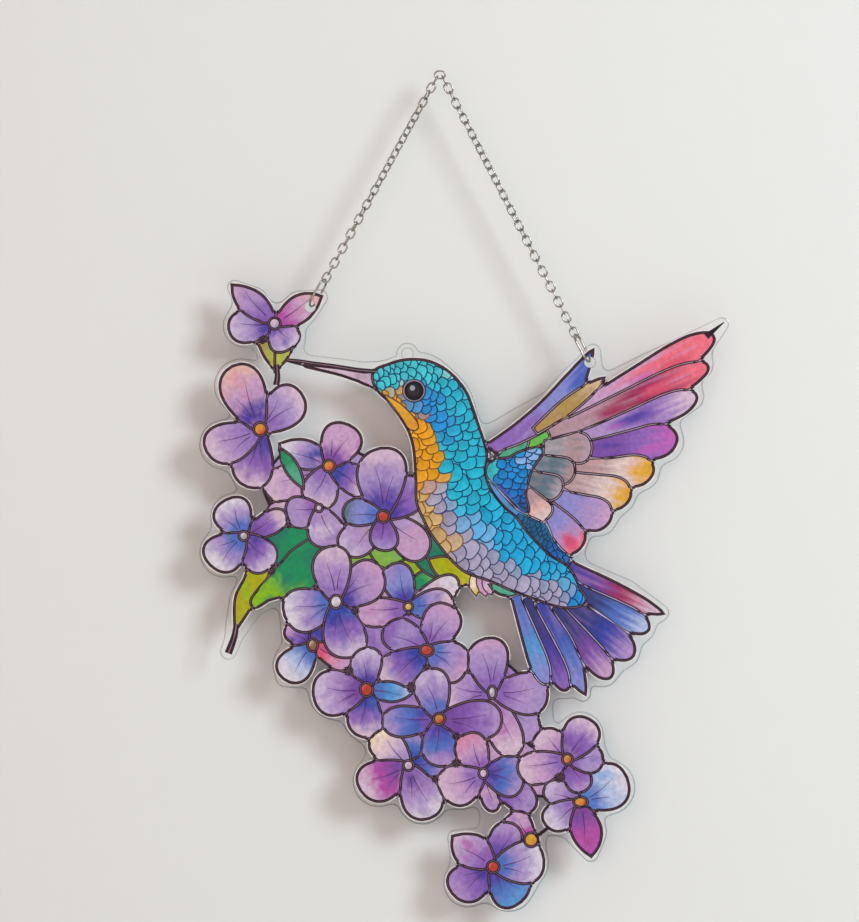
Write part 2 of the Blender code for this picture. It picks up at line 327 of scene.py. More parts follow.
def inside(spot: Vector, loop: Loop, margin: float) -> bool:
    """Say whether a place lies within a loop or close to it.

    Args:
        spot: the place.
        loop: the closed curve.
        margin: how near to one of the loop's points still counts.

    Returns:
        Whether it does.
    """
    crossings, nearest = 0, margin + 1
    for a, b in around(loop):
        if (a.y > spot.y) != (b.y > spot.y):
            crossings += spot.x < a.x + (spot.y - a.y) / (b.y - a.y) * (b.x - a.x)
        if margin:
            nearest = min(nearest, (a - spot).length)
    return crossings % 2 == 1 or nearest < margin


def ellipse(centre: Point, width: float, height: float, sides: int = CIRCLE_SIDES) -> Loop:
    """Return an ellipse's points.

    Args:
        centre: its middle.
        width: its radius across, in millimetres.
        height: its radius upwards.
        sides: how many points it has.

    Returns:
        The closed outline.
    """
    turns = [2 * math.pi * i / sides for i in range(sides)]
    return [Vector((centre[0] + width * math.cos(t), centre[1] + height * math.sin(t)))
            for t in turns]


def stroke(points: Sequence[Point], width: float, taper: float = 0.75) -> Loop:
    """Return the outline of a pen stroke.

    Args:
        points: the stroke's middle line.
        width: its width at the start.
        taper: the share of its width that it loses on its way.

    Returns:
        The closed outline.
    """
    line = smooth_loop(points, STROKE_STEP, closed=False)
    left, right = [], []
    for i, spot in enumerate(line):
        along = (line[min(i + 1, len(line) - 1)] - line[max(i - 1, 0)]).normalized()
        half = width / 2 * (1 - taper * i / (len(line) - 1))
        side = Vector((along.y, -along.x)) * half
        left.append(spot + side)
        right.append(spot - side)
    loop = left + right[::-1]
    return loop if signed_area(loop) > 0 else loop[::-1]


# --- the printed picture ---------------------------------------------------------

@dataclass(frozen=True)
class Cell:
    """One coloured cell of the picture, edged with leading.

    The inks run from the root to the tip, and the accent lies over them in patches.
    """

    outline: Sequence[Point]
    inks: str                       # root, middle, tip and accent
    root: Point = (0.0, 0.0)
    tip: Point | None = None
    veins: Sequence[Sequence[Point]] = ()
    streaks: float = 0.0            # 0 washes and 1 feather streaks
    core: str = "core"              # colour of the leading's pale middle
    leading: float = 1.0            # width of its leading, as a share of the usual width
    scales: str = ""                # the plumage that fills it
    grows: bool = True              # whether it closes up to a near cell

    def colours(self) -> list[Ink]:
        """Return the four inks."""
        return [Ink[name.upper()] for name in self.inks.split()]


class Tip(Enum):
    """How a petal ends."""

    ROUND = "round"
    POINTED = "pointed"

    def profile(self) -> list[tuple[float, float]]:
        """Work out a petal's breadth along its length.

        Returns:
            Shares of the length, each with the share of the half width there.
        """
        turns = [math.pi * (PETAL_STEPS - i) / PETAL_STEPS for i in range(1, PETAL_STEPS)]
        if self is Tip.ROUND:
            return [(0.5 + 0.5 * math.cos(turn),
                     math.sin(turn) * (1 + EGG * math.cos(turn)) / (1 + 0.15 * EGG))
                    for turn in turns]
        shares = [1 - turn / math.pi for turn in turns]
        return [(share, math.sin(math.pi * share ** POINTED_SKEW) ** POINTED_FULLNESS)
                for share in shares]


@dataclass(frozen=True)
class Petal:
    """One petal of a blossom, which widens from the blossom's heart."""

    direction: float                # degrees from +X towards +Z
    reach: float                    # from the heart's middle to the petal's end
    width: float
    inks: str                       # from the root outwards
    tip: Tip = Tip.ROUND

    def place(self, centre: Point, share: float, side: float) -> tuple[float, float]:
        """Find a place on the petal.

        Args:
            centre: the blossom's middle.
            share: how far along the petal's length the place is.
            side: how far to the left it is, as a share of the half width.

        Returns:
            The place's x and z.
        """
        turn = math.radians(self.direction)
        length = self.reach * (share + LEAN * side * math.sin(3 * turn))
        breadth = self.width / 2 * side
        return (centre[0] + length * math.cos(turn) - breadth * math.sin(turn),
                centre[1] + length * math.sin(turn) + breadth * math.cos(turn))

    def cell(self, centre: Point) -> Cell:
        """Draw the petal.

        Args:
            centre: the blossom's middle.

        Returns:
            The petal's cell, with its veins.
        """
        left = [self.place(centre, share, half) for share, half in self.tip.profile()]
        right = [self.place(centre, share, -half) for share, half in self.tip.profile()]
        end = (*self.place(centre, 1.0, 0.0), float(self.tip is Tip.POINTED))
        # Which side the first vein leans to changes from petal to petal.
        side = math.copysign(1.0, math.sin(5 * math.radians(self.direction) + 0.4))
        has_vein = (self.reach > SMALL_PETAL, self.width > BROAD_PETAL)
        veins = [[self.place(centre, share, side * shift) for share, shift in course]
                 for course, drawn in zip(VEIN_COURSES, has_vein) if drawn]
        return Cell([*left, end, *reversed(right)], self.inks, root=centre, veins=veins)


@dataclass(frozen=True)
class Blossom:
    """A blossom: its petals, the hindmost first, round a heart."""

    centre: Point
    heart_size: Point               # radii across and up
    heart_inks: str                 # from its glint outwards
    petals: Sequence[Petal]

    def heart(self) -> Cell:
        """Draw the round heart, which lies over every petal.

        Returns:
            The heart's cell.
        """
        wide, high = self.heart_size
        loop = [(p.x, p.y) for p in ellipse(self.centre, wide, high, HEART_SIDES)]
        glint = (self.centre[0] - GLINT * wide, self.centre[1] + GLINT * high)
        return Cell(loop, self.heart_inks, root=glint, grows=False)


def pane(inks: str, *outline: Point, root: Point | None = None,
         tip: Point | None = None, leading: float = 1.0) -> Cell:
    """Draw a plain pane whose inks run from its root to its tip.

    Args:
        inks: root, middle, tip and accent.
        outline: the pane's corners.
        root: where its wash starts, or none for its upper left.
        tip: where its wash ends, or none for its lower right.
        leading: width of its leading, as a share of the usual width.

    Returns:
        The pane's cell.
    """
    xs, zs = [p[0] for p in outline], [p[1] for p in outline]
    root = root or (min(xs), max(zs))
    tip = tip or (max(xs), min(zs))
    return Cell(outline, inks, root=root, tip=tip, leading=leading)


def leaf(inks: str, start: Point, end: Point, width: float) -> Cell:
    """Draw a small leaf, pointed at both ends.

    Args:
        inks: root, middle, tip and accent.
        start: its stem's end.
        end: its tip.
        width: its width at the broadest place.

    Returns:
        The leaf's cell.
    """
    first, last = Vector(start), Vector(end)
    across = Vector((first.y - last.y, last.x - first.x)).normalized() * width / 2
    left, right = [[first.lerp(last, share) + across * half * side
                    for share, half in LEAF_PROFILE] for side in (1, -1)]
    sides = [[(spot.x, spot.y) for spot in spots] for spots in (left, right[::-1])]
    return Cell([(*start, 1), *sides[0], (*end, 1), *sides[1]], inks, root=start, tip=end)


GROUND_INDEX = 0                # the ground is the picture's first cell
PETAL_STEPS = 9                 # stretches on each side of a petal's outline
EGG = 0.38                      # how far a round petal's belly is towards its end
POINTED_SKEW = 1.06             # and a pointed one's
POINTED_FULLNESS = 0.8          # lower makes a pointed petal fuller
LEAN = 0.04                     # how much longer one side of a petal is
SMALL_PETAL = 9.0               # petals shorter than this lack the first vein
BROAD_PETAL = 11.2              # and only those wider than this have the second
HEART_SIDES = 12
FINE = 0.45                     # share of the usual leading, on small panes
GLINT = 0.3                     # how far up and left a heart's glint is, in radii

# A petal's veins, as shares of its length and its half width.
VEIN_COURSES = (((0.2, 0.0), (0.48, 0.08), (0.76, 0.28)),
                ((0.22, -0.14), (0.42, -0.3), (0.58, -0.5)))
# How broad a leaf is along its length, as shares of its length and half its width.
LEAF_PROFILE = ((0.25, 0.8), (0.55, 1.0), (0.82, 0.6))

# The ground of leading and lilac panes that shows between the petals.
GROUND = [(-50, -122), (-46, -121), (-36, -119), (-27, -121), (-14, -128), (-9.5, -131),
          (-8, -138), (-4, -147), (0, -153), (5, -160), (2, -170), (0, -179), (7, -184),
          (16, -185), (28, -196), (28, -206), (28, -214), (36, -214), (44, -213),
          (47, -220), (50, -227), (45, -236), (39, -236), (33, -230), (24, -231),
          (14, -227), (6, -229), (-5, -231), (-12, -227), (-19, -223), (-15, -214),
          (-20, -208), (-25, -202), (-34, -199), (-31, -190), (-38, -186), (-43, -181),
          (-42, -174), (-45, -169), (-40, -160), (-45, -150), (-50, -143), (-54, -137),
          (-56, -129), (-52, -124)]

ORANGE_HEART = "amber orange rust brown"
AMBER_HEART = "yellow amber orange brown"
YELLOW_HEART = "cream yellow khaki brown"
RED_HEART = "coral rust rust brown"
BROWN_HEART = "sand brown brown rust"
PINK_HEART = "white blush mauve tan"
GREY_HEART = "white grey tan mauve"
WHITE_HEART = "white white grey grey"

BLOSSOMS = [
    Blossom((-52.5, -80.0), (1.5, 1.5), PINK_HEART, [
        Petal(187, 14.4, 9.4, "indigo lilac pale violet"),
        Petal(302, 9.2, 9.6, "violet mauve pale indigo"),
        Petal(138, 17.8, 7.4, "violet mauve pink purple", Tip.POINTED),
        Petal(30, 16.8, 7.8, "magenta pink peach rose", Tip.POINTED)]),
    Blossom((-35.2, -125.3), (1.6, 1.6), ORANGE_HEART, [
        Petal(203, 21.6, 11.0, "violet pink blush mauve"),
        Petal(155, 16.6, 8.8, "deep lilac white pink", Tip.POINTED),
        Petal(250, 13.4, 10.8, "violet lilac blush mauve"),
        Petal(331, 14.0, 8.6, "deep violet blush blue"),
        Petal(64, 14.2, 12.0, "purple pink pink magenta")]),
    Blossom((-57.0, -113.6), (1.8, 1.8), ORANGE_HEART, [
        Petal(258, 18.5, 12.2, "indigo violet blush purple"),
        Petal(203, 18.2, 12.2, "violet mauve blush lilac"),
        Petal(42, 17.0, 12.0, "violet lilac blush mauve"),
        Petal(114, 21.6, 13.2, "indigo pink peach rose")]),
    Blossom((-38.4, -138.6), (0.9, 0.9), PINK_HEART, [
        Petal(184, 16.0, 5.4, "white blush pink tan"),
        Petal(192, 10.2, 9.4, "violet mauve lilac magenta"),
        Petal(287, 12.6, 11.0, "mauve pale mauve violet")]),
    Blossom((-18.0, -141.3), (1.6, 1.6), RED_HEART, [
        Petal(222, 16.8, 10.4, "tan mauve pale lilac"),
        Petal(358, 14.0, 6.2, "grey pale grey tan"),
        Petal(319, 18.2, 10.6, "lilac pink pink dusk"),
        Petal(40, 15.8, 10.4, "indigo violet lilac purple"),
        Petal(92, 21.4, 15.0, "indigo lilac blush violet"),
        Petal(171, 12.6, 7.8, "blue peri slate peri"),
        Petal(272, 10.6, 8.2, "purple violet lilac violet")]),
    Blossom((-62.3, -147.5), (1.2, 1.2), GREY_HEART, [
        Petal(26, 14.8, 6.8, "purple violet blush lilac"),
        Petal(309, 12.9, 10.4, "indigo violet pale lilac"),
        Petal(117, 12.5, 11.4, "blue lilac white blue"),
        Petal(221, 13.8, 11.8, "blue lilac white blue")]),
    Blossom((-10.0, -170.0), (1.1, 1.1), YELLOW_HEART, [
        Petal(27, 17.6, 7.4, "pale blush white tan"),
        Petal(142, 11.0, 6.0, "mauve pink pink dusk"),
        Petal(111, 14.2, 9.4, "indigo peri lilac blue"),
        Petal(190, 15.8, 8.6, "violet pink pink magenta"),
        Petal(3, 14.0, 9.8, "blue lilac blush indigo")]),
    Blossom((-40.4, -182.2), (1.3, 1.7), BROWN_HEART, [
        Petal(144, 9.8, 6.0, "indigo violet pink deep"),
        Petal(60, 7.0, 5.4, "purple deep purple indigo"),
        Petal(334, 12.8, 6.6, "red rose pink magenta"),
        Petal(229, 13.8, 10.2, "blue ice white deep")]),
    Blossom((-33.0, -168.4), (1.6, 1.8), WHITE_HEART, [
        Petal(195, 16.6, 13.4, "blue lilac white violet"),
        Petal(34, 17.4, 12.4, "indigo mauve pink violet"),
        Petal(284, 18.0, 12.8, "deep violet pale blue"),
        Petal(97, 17.4, 11.6, "violet mauve blush lilac")]),
    Blossom((16.6, -197.2), (1.0, 1.7), GREY_HEART, [
        Petal(314, 19.6, 10.4, "violet lilac mauve purple"),
        Petal(288, 21.0, 9.8, "mauve pink blush magenta"),
        Petal(180, 15.6, 12.0, "violet mauve blush lilac"),
        Petal(358, 17.4, 12.8, "violet mauve lilac pink"),
        Petal(97, 17.0, 12.2, "violet lilac pink mauve")]),
    Blossom((-4.2, -183.8), (1.8, 1.5), RED_HEART, [
        Petal(62, 15.8, 11.4, "violet mauve pink purple"),
        Petal(150, 14.8, 10.0, "violet lilac violet indigo"),
        Petal(214, 17.0, 10.8, "deep violet blush blue"),
        Petal(334, 13.8, 12.0, "blue lilac pink violet")]),
    Blossom((-23.3, -196.3), (1.7, 1.9), RED_HEART, [
        Petal(355, 14.0, 5.8, "blue sky ice blue", Tip.POINTED),
        Petal(90, 13.0, 9.0, "indigo lilac pale violet"),
        Petal(267, 14.9, 10.4, "deep violet blush blue"),
        Petal(186, 16.7, 13.6, "purple mauve pale violet")]),
    Blossom((-10.0, -220.4), (1.3, 1.3), PINK_HEART, [
        Petal(98, 10.4, 10.0, "deep blue lilac violet"),
        Petal(2, 11.4, 6.4, "deep blue mauve purple"),
        Petal(137, 14.4, 9.6, "lilac blush cream mauve"),
        Petal(208, 16.8, 12.4, "purple magenta blush pink"),
        Petal(292, 17.8, 12.0, "purple mauve white lilac")]),
    Blossom((-0.2, -205.6), (1.5, 1.5), ORANGE_HEART, [
        Petal(184, 17.8, 9.2, "indigo blue lilac violet"),
        Petal(270, 14.8, 10.4, "indigo blue mauve violet"),
        Petal(103, 15.8, 10.6, "blue lilac pale violet"),
        Petal(359, 19.6, 11.6, "purple violet mauve purple")]),
    Blossom((13.8, -222.9), (1.1, 1.3), PINK_HEART, [
        Petal(328, 19.4, 8.6, "indigo violet mauve blue"),
        Petal(285, 12.2, 4.8, "pink pink mauve violet"),
        Petal(116, 13.4, 9.8, "violet pink rose magenta"),
        Petal(206, 14.4, 12.4, "violet pink blush mauve"),
        Petal(353, 12.8, 12.2, "indigo blue lilac violet")]),
    Blossom((44.7, -232.0), (1.9, 1.3), ORANGE_HEART, [
        Petal(158, 12.0, 6.8, "violet mauve pale lilac"),
        Petal(214, 13.0, 8.6, "violet lilac white lilac"),
        Petal(28, 16.3, 13.4, "blue ice white sky"),
        Petal(281, 17.2, 9.0, "purple magenta magenta crimson", Tip.POINTED)]),
    Blossom((40.5, -218.4), (1.3, 1.4), ORANGE_HEART, [
        Petal(298, 11.2, 7.6, "purple violet mauve magenta"),
        Petal(0, 11.0, 8.2, "violet lilac mauve indigo"),
        Petal(138, 12.2, 8.8, "violet pink blush pale"),
        Petal(196, 15.8, 9.8, "violet pink blush mauve"),
        Petal(61, 14.2, 10.8, "purple violet blush mauve")]),
    Blossom((29.0, -244.0), (1.9, 1.9), AMBER_HEART, [
        Petal(130, 10.2, 7.6, "magenta pink pink violet")]),
    Blossom((16.9, -252.6), (1.6, 1.6), RED_HEART, [
        Petal(66, 14.8, 9.4, "indigo violet mauve lilac"),
        Petal(213, 15.2, 11.6, "indigo violet mauve magenta"),
        Petal(309, 13.9, 12.4, "indigo blue sky violet"),
        Petal(8, 16.0, 12.8, "blue lilac white violet"),
        Petal(143, 15.8, 10.4, "violet mauve blush magenta", Tip.POINTED)]),
]


def flowers() -> list[Cell]:
    """Draw the blossoms and the leaves.

    Returns:
        Their cells, with the hearts last.
    """
    petals = [petal.cell(blossom.centre) for blossom in BLOSSOMS for petal in blossom.petals]
    petals.append(leaf("leaf sea sea teal", (-50.5, -120), (-43.5, -132), 3.6))
    return leaves() + petals + [blossom.heart() for blossom in BLOSSOMS]


def leaves() -> list[Cell]:
    """Draw the ground between the petals, the small leaves and the big one.

    Returns:
        Their cells, with the ground first.
    """
    return [
        Cell(GROUND, "lilac violet pink mauve", (-40, -120), (20, -230), grows=False),
        pane("khaki amber amber moss", (-57.4, -86.5, 1), (-52.1, -86, 1), (-52.1, -94.4, 1),
             (-55, -91.2)),
        pane("moss yellow lime moss", (-52.1, -86, 1), (-46.8, -85.5, 1), (-48.8, -91),
             (-52.1, -94.4, 1)),
        leaf("moss moss moss lime", (-30.5, -157.4), (-19, -153.4), 6.2),
        leaf("moss moss sea lime", (-22.5, -152), (-10.5, -156.2), 6.2),
        leaf("moss lime moss olive", (-12.5, -156), (-4, -159), 5.0),
        leaf("leaf fern sea teal", (-9.5, -163), (2.5, -160), 6.0),
        leaf("teal teal teal leaf", (-4.2, -144.5), (-0.5, -161), 11.5),
        leaf("olive olive yellow lime", (-3.4, -155), (10.8, -162.2), 7.0),
        pane("olive olive olive lime", (-60.3, -158.5), (-55, -158.5), (-58, -164),
             (-60, -169.5), (-64.8, -177, 1), (-65, -171), (-64.5, -166.5),
             (-62, -161.5), root=(-58, -158.5), tip=(-64.8, -177)),
        pane("teal leaf leaf teal", (-56, -147.7), (-49, -145.2), (-42, -146), (-36, -148),
             (-46, -153), (-51.5, -156.5, 1), (-51.3, -152.5), (-53, -149.5),
             root=(-56, -147.7), tip=(-42, -150)),
        pane("leaf leaf lime teal", (-37, -147.5), (-46, -151.7), (-50.5, -156.5),
             (-54, -161), (-57, -164), (-59.5, -169.5), (-54, -167.5), (-48, -166),
             (-42, -164.5), (-37, -158), (-34, -152), root=(-43, -149.5),
             tip=(-51, -167.5)),
    ]


def feather(inks: str, root: Point, tip: Point, width: float, end: Tip = Tip.ROUND,
            bend: float = 0.0, core: str = "wing") -> Cell:
    """Draw a feather whose inks run in streaks from its root to its tip.

    Args:
        inks: root, middle, tip and accent.
        root: the middle of its narrow end.
        tip: its far end.
        width: its width at the broadest place.
        end: how it ends.
        bend: how far its middle line bows to the left of its run.
        core: the colour of its leading's pale middle.

    Returns:
        The feather's cell.
    """
    first, run = Vector(root), Vector(tip) - Vector(root)
    across = Vector((-run.y, run.x)).normalized()
    sides: list[list[Point]] = []
    for half in (width / 2, -width / 2):
        sides.append([])
        for share, breadth in FEATHER_PROFILES[end]:
            bow = bend * math.sin(math.pi * share)
            spot = first + run * share + across * (bow + half * breadth)
            sides[-1].append((spot.x, spot.y, 1) if share == 0 else (spot.x, spot.y))
    last = (*tip, 1) if end is Tip.POINTED else tip
    return Cell([*sides[0], last, *reversed(sides[1])], inks, root, tip, streaks=1.0,
                core=core)


# How broad a feather is along its length, as shares of its length and its width.
FEATHER_PROFILES = {
    Tip.ROUND: ((0.0, 0.42), (0.2, 0.6), (0.5, 0.86), (0.76, 1.0), (0.92, 0.74)),
    Tip.POINTED: ((0.0, 0.42), (0.2, 0.74), (0.46, 1.0), (0.76, 0.78), (0.94, 0.28)),
}


def wing_and_tail() -> list[Cell]:
    """Draw the feathers of the wing and of the tail.

    Returns:
        Their cells, the wing's first.
    """
    sharp, blunt = Tip.POINTED, Tip.ROUND
    wing = [
        ("fern fern moss lime", (26.6, -119), (36, -111.6), 5.0, sharp),
        ("sea sea sea teal", (19.4, -123.2), (28, -117.3), 4.4, sharp),
        ("violet peri cobalt lilac", (16.4, -119.6), (48.4, -88.8), 7.4, sharp, -4.4),
        ("pink coral coral pink", (41, -109.2), (86.6, -84.2), 8.4, blunt, -0.4),
        ("dusk crimson coral pink", (35, -115), (84.8, -93.6), 8.0, blunt, -0.4),
        ("khaki khaki sand dusk", (30.5, -114), (51.8, -97.6), 4.4, sharp),
        ("mauve violet blush mauve", (45.5, -116), (81.2, -103), 8.0, blunt, -0.6),
        ("purple violet orchid violet", (47, -119.8), (75, -116.2), 10.2, blunt, -0.6),
        ("dusk milk amber peach", (43, -125.8), (67.6, -126.4), 9.4, blunt, -0.8),
        ("dusk milk amber milk", (39, -129.2), (60.2, -135), 10.0, blunt, -0.4),
        ("peri lilac pink lilac", (35.2, -134.6), (54, -142), 10.2, blunt, -0.6),
        ("peri mauve coral mauve", (34.4, -138.4), (43.2, -152.2), 9.4, blunt, 0.8),
        ("grey dusk tan slate", (33.6, -119.4), (48, -119.6), 9.2),
        ("slate slate dusk grey", (29.6, -123.6), (42.4, -128), 8.0),
        ("slate slate grey dusk", (28, -128.6), (38.4, -133.4), 7.6),
        ("dusk peach milk grey", (27.6, -133.4), (33.6, -142), 7.4)]
    tail = [
        ("indigo crimson blush rose", (41, -157), (70.5, -172), 5.8, sharp, -1.2),
        ("navy blue ice indigo", (43.6, -164.2), (66, -177.2), 6.6),
        ("navy deep mauve violet", (40.4, -168.8), (61, -185.6), 8.4),
        ("navy purple pink violet", (36.8, -170), (54, -192.2), 7.0),
        ("deep blue peri lilac", (31.8, -169), (46, -197.4), 7.4, sharp),
        ("navy indigo violet purple", (27.4, -167.6), (40, -196.2), 5.6),
        ("blue sky peri lilac", (24.2, -167), (33.8, -194.3), 5.4)]
    return [feather(*drawn) for drawn in wing] + [feather(*drawn, core="pale")
                                                  for drawn in tail]


def head_and_feet() -> list[Cell]:
    """Draw the beak, the foot, the shoulder and the mantle.

    Returns:
        Their cells.
    """
    toes = [replace(leaf(inks, start, end, 2.6), leading=FINE) for inks, start, end in (
        ("cream cream yellow tan", (10.2, -159.6), (11.6, -166.4)),
        ("pink pink rose mauve", (12.0, -160), (14.6, -166.6)),
        ("pink blush pink mauve", (13.9, -160.6), (16.2, -166)))]
    return [
        pane("blush blush pink tan", (-43, -93.35, 1), (-32.3, -94.5), (-24.6, -95.75),
             (-21.4, -96.1), (-20.7, -98), (-21, -99.75), (-26.5, -97.8), (-32.3, -95.9),
             root=(-43, -93), tip=(-20, -99)),
        *toes,
        leaf("sea sea sea moss", (16.2, -163.2), (23.6, -165.8), 2.8),
        Cell([(15.2, -126.5), (16.5, -124.2), (19, -123.2), (22, -122.8), (25, -121.2),
              (28.5, -120), (31.8, -119.9), (32.2, -121.5), (30.3, -124.2),
              (28.4, -127.8), (27.6, -131), (27, -134.5), (27.9, -139.6),
              (26, -139.3), (24, -137), (20, -133.2), (15.8, -129)],
             "lagoon sky ocean night", (15, -123), (28, -139), scales="shoulder"),
        Cell([(15, -130.3), (20, -135.3), (24, -139.4), (28.5, -141.6), (33.3, -144.2),
              (35, -147.5), (38, -151.5), (40.6, -154.2), (40.6, -156.6), (36.5, -154.6),
              (32, -150.6), (28, -146.2), (25, -142), (20.5, -138.2), (17, -134)],
             "sky ocean deepsea teal", (15, -130), (40, -156), scales="mantle",
             core="pale"),
    ]


def throat() -> list[Cell]:
    """Return the long pane of the throat, which lies over the plumage."""
    return [pane("amber amber orange amber", (-17.8, -102.6, 1), (-13.5, -105), (-11, -107),
                 (-9, -109.2), (-7.6, -111), (-6.9, -112.6), (-7.3, -113.6), (-8.3, -113.9),
                 (-9.9, -113.3), (-11.2, -111.3), (-13.2, -108.3), (-15.6, -105.2),
                 root=(-18, -102), tip=(-8, -114), leading=FINE)]


@dataclass(frozen=True)
class Bar:
    """A plain stroke of leading, such as a stalk."""

    points: Sequence[Point]
    width: float
    taper: float = 0.0
    hex_value: str = DARK_INK


def came(*points: Point, width: float = 1.4, core: float = 0.4) -> list[Bar]:
    """Return a bar of leading with a paler line along its middle."""
    return [Bar(points, width, taper=-0.35), Bar(points, core, hex_value="#7d6670")]


def bars() -> list[Bar]:
    """Draw the stalks and the lines that are plain leading.

    Returns:
        Their bars, the upper ones last.
    """
    return [
        *came((-51.8, -93), (-51.6, -97), (-52.0, -99.6), width=1.5),
        *came((-64.6, -175.5), (-65.3, -179.5), (-67.2, -184.8), width=1.8),
        *came((-48.6, -91.6), (-44.5, -92), (-40, -92.7), (-34, -93.5), (-26, -94.8),
              (-20.5, -95.3), width=1.1, core=0.28),
        Bar([(-48.8, -91.9), (-46, -92.7), (-40, -94.1), (-32, -96.3), (-26.5, -98.2),
             (-21, -100.4)], 0.55),
        Bar([(30.4, -243.2), (34.6, -240)], 1.1),
        Bar([(84.6, -84.2), (87.4, -81.9), (90.3, -79.6)], 2.0, taper=0.85),
    ]


@dataclass(frozen=True)
class Zone:
    """A broad area of plumage that one ink rules."""

    ink: Ink
    line: Sequence[Point]           # the area's middle line
    spread: float                   # half its width, in millimetres

    def weight(self, place: Vector) -> float:
        """Work out how strongly the zone's ink rules at a place.

        Args:
            place: the place.

        Returns:
            The ink's share, from almost 0 far off to 1 on the middle line.
        """
        nearest = math.inf
        for start, end in zip(self.line, self.line[1:]):
            a, b = Vector(start), Vector(end)
            share = (place - a).dot(b - a) / (b - a).length_squared
            spot = a.lerp(b, min(1.0, max(0.0, share)))
            nearest = min(nearest, (place - spot).length)
        return math.exp(-2 * (nearest / self.spread) ** 2) + 1e-9


# The plumages: their outlines, the lines that their rows cross, and their inks.
BODY = [(-20.8, -95.6), (-16, -93.2), (-12, -92), (-8, -91.7), (-4, -92.2), (0, -93.8),
        (4, -96.8), (7.9, -101.7), (10.1, -107), (12.1, -113), (13.8, -118), (14.6, -122),
        (14.2, -128), (16, -133), (20, -138.3), (24, -141.8), (27, -145.8), (31, -150.3),
        (35, -154), (40.5, -157.5), (43, -161.5), (44, -164), (46, -168.3), (41, -170),
        (36, -169.3), (31, -167.5), (24, -165), (16, -161.5), (8.5, -158.8),
        (3.5, -154.5), (-2, -147.5), (-4.5, -143), (-7, -137), (-7.3, -130), (-8, -120),
        (-9.5, -114.5), (-12, -110), (-15, -105.5), (-20, -100.5)]
BODY_AXIS = [(-21, -97), (-14, -97), (-7, -99.5), (-1, -104), (2, -111), (3, -120),
             (4, -130), (7, -140), (14, -149), (24, -156), (34, -162), (45, -167)]
BODY_ZONES = [
    Zone(Ink.TURQUOISE, [(-20, -98), (-10, -94.5), (0, -95)], 3.6),
    Zone(Ink.FOAM, [(1, -96), (6, -99)], 1.8),
    Zone(Ink.AZURE, [(-8, -106), (-3, -106), (3, -111)], 4.0),
    Zone(Ink.AQUA, [(4, -100), (8, -111), (8, -124), (11, -138)], 5.6),
    Zone(Ink.LIGHTSKY, [(14, -142), (24, -151), (34, -158)], 5.0),
    Zone(Ink.GOLD, [(-14, -105), (-8, -112), (-6, -122), (-4, -129)], 3.4),
    Zone(Ink.STRAW, [(-6, -136), (-4, -142), (2, -149)], 2.4),
    Zone(Ink.HEATHER, [(-1, -133), (2, -144), (9, -152.5), (18, -159), (30, -164), (37, -166)],
         3.6),
    Zone(Ink.HAZE, [(5, -138), (9, -145), (15, -152)], 2.4),
    Zone(Ink.AZURE, [(41, -168), (44, -165)], 2.6),
]
SHOULDER = [(21.5, -123.6), (25, -121.6), (28.5, -120), (32.2, -119.9), (32.3, -121.5),
            (30.3, -124.4), (28.4, -127.8), (27.4, -134.8), (22.5, -135), (21, -133)]
SHOULDER_AXIS = [(28, -117), (26.5, -124), (25, -130), (24.5, -138)]
SHOULDER_ZONES = [
    Zone(Ink.HAZE, [(30, -120), (28, -122)], 2.4),
    Zone(Ink.AZURE, [(22, -125), (26, -127), (23, -131)], 3.4),
    Zone(Ink.OCEAN, [(24, -131), (26, -135)], 2.6),
]
MANTLE = [(26.5, -142), (29, -142.5), (33.3, -145), (35, -148), (38, -151.8),
          (40.6, -154.5), (40.6, -156.6), (36.5, -154.8), (32, -150.8), (28, -146.4)]
MANTLE_AXIS = [(25, -139), (30, -145.5), (34.5, -151), (42, -159)]
MANTLE_ZONES = [
    Zone(Ink.DEEPSEA, [(28, -143), (33, -149)], 4.0),
    Zone(Ink.OCEAN, [(35, -151), (40, -156)], 3.4),
]


@dataclass(frozen=True)
class Feather:
    """One small rounded feather of a plumage."""

    spot: Vector
    along: Vector
    size: float                     # its radius, in millimetres
    squareness: float               # from 0, round, to 1
    colour: Colour
    plumage: str
    overlap: float = 1.02           # how much larger it is drawn
    flare: float = 0.06             # and how much wider at its end

    def outline(self, sides: int = 16) -> Loop:
        """Draw the feather, a rounded square a little wider than long.

        Args:
            sides: how many points its outline has.

        Returns:
            The closed outline.
        """
        side = Vector((-self.along.y, self.along.x))
        power = 1.0 - 0.3 * self.squareness
        loop = []
        for i in range(sides):
            turn = 2 * math.pi * (i + 0.5) / sides
            reach = math.copysign(abs(math.cos(turn)) ** power, math.cos(turn))
            width = math.copysign(abs(math.sin(turn)) ** power, math.sin(turn))
            loop.append(self.spot + self.along * reach * self.size * self.overlap
                        + side * width * self.size * (self.overlap + self.flare * reach))
        return loop if signed_area(loop) > 0 else loop[::-1]


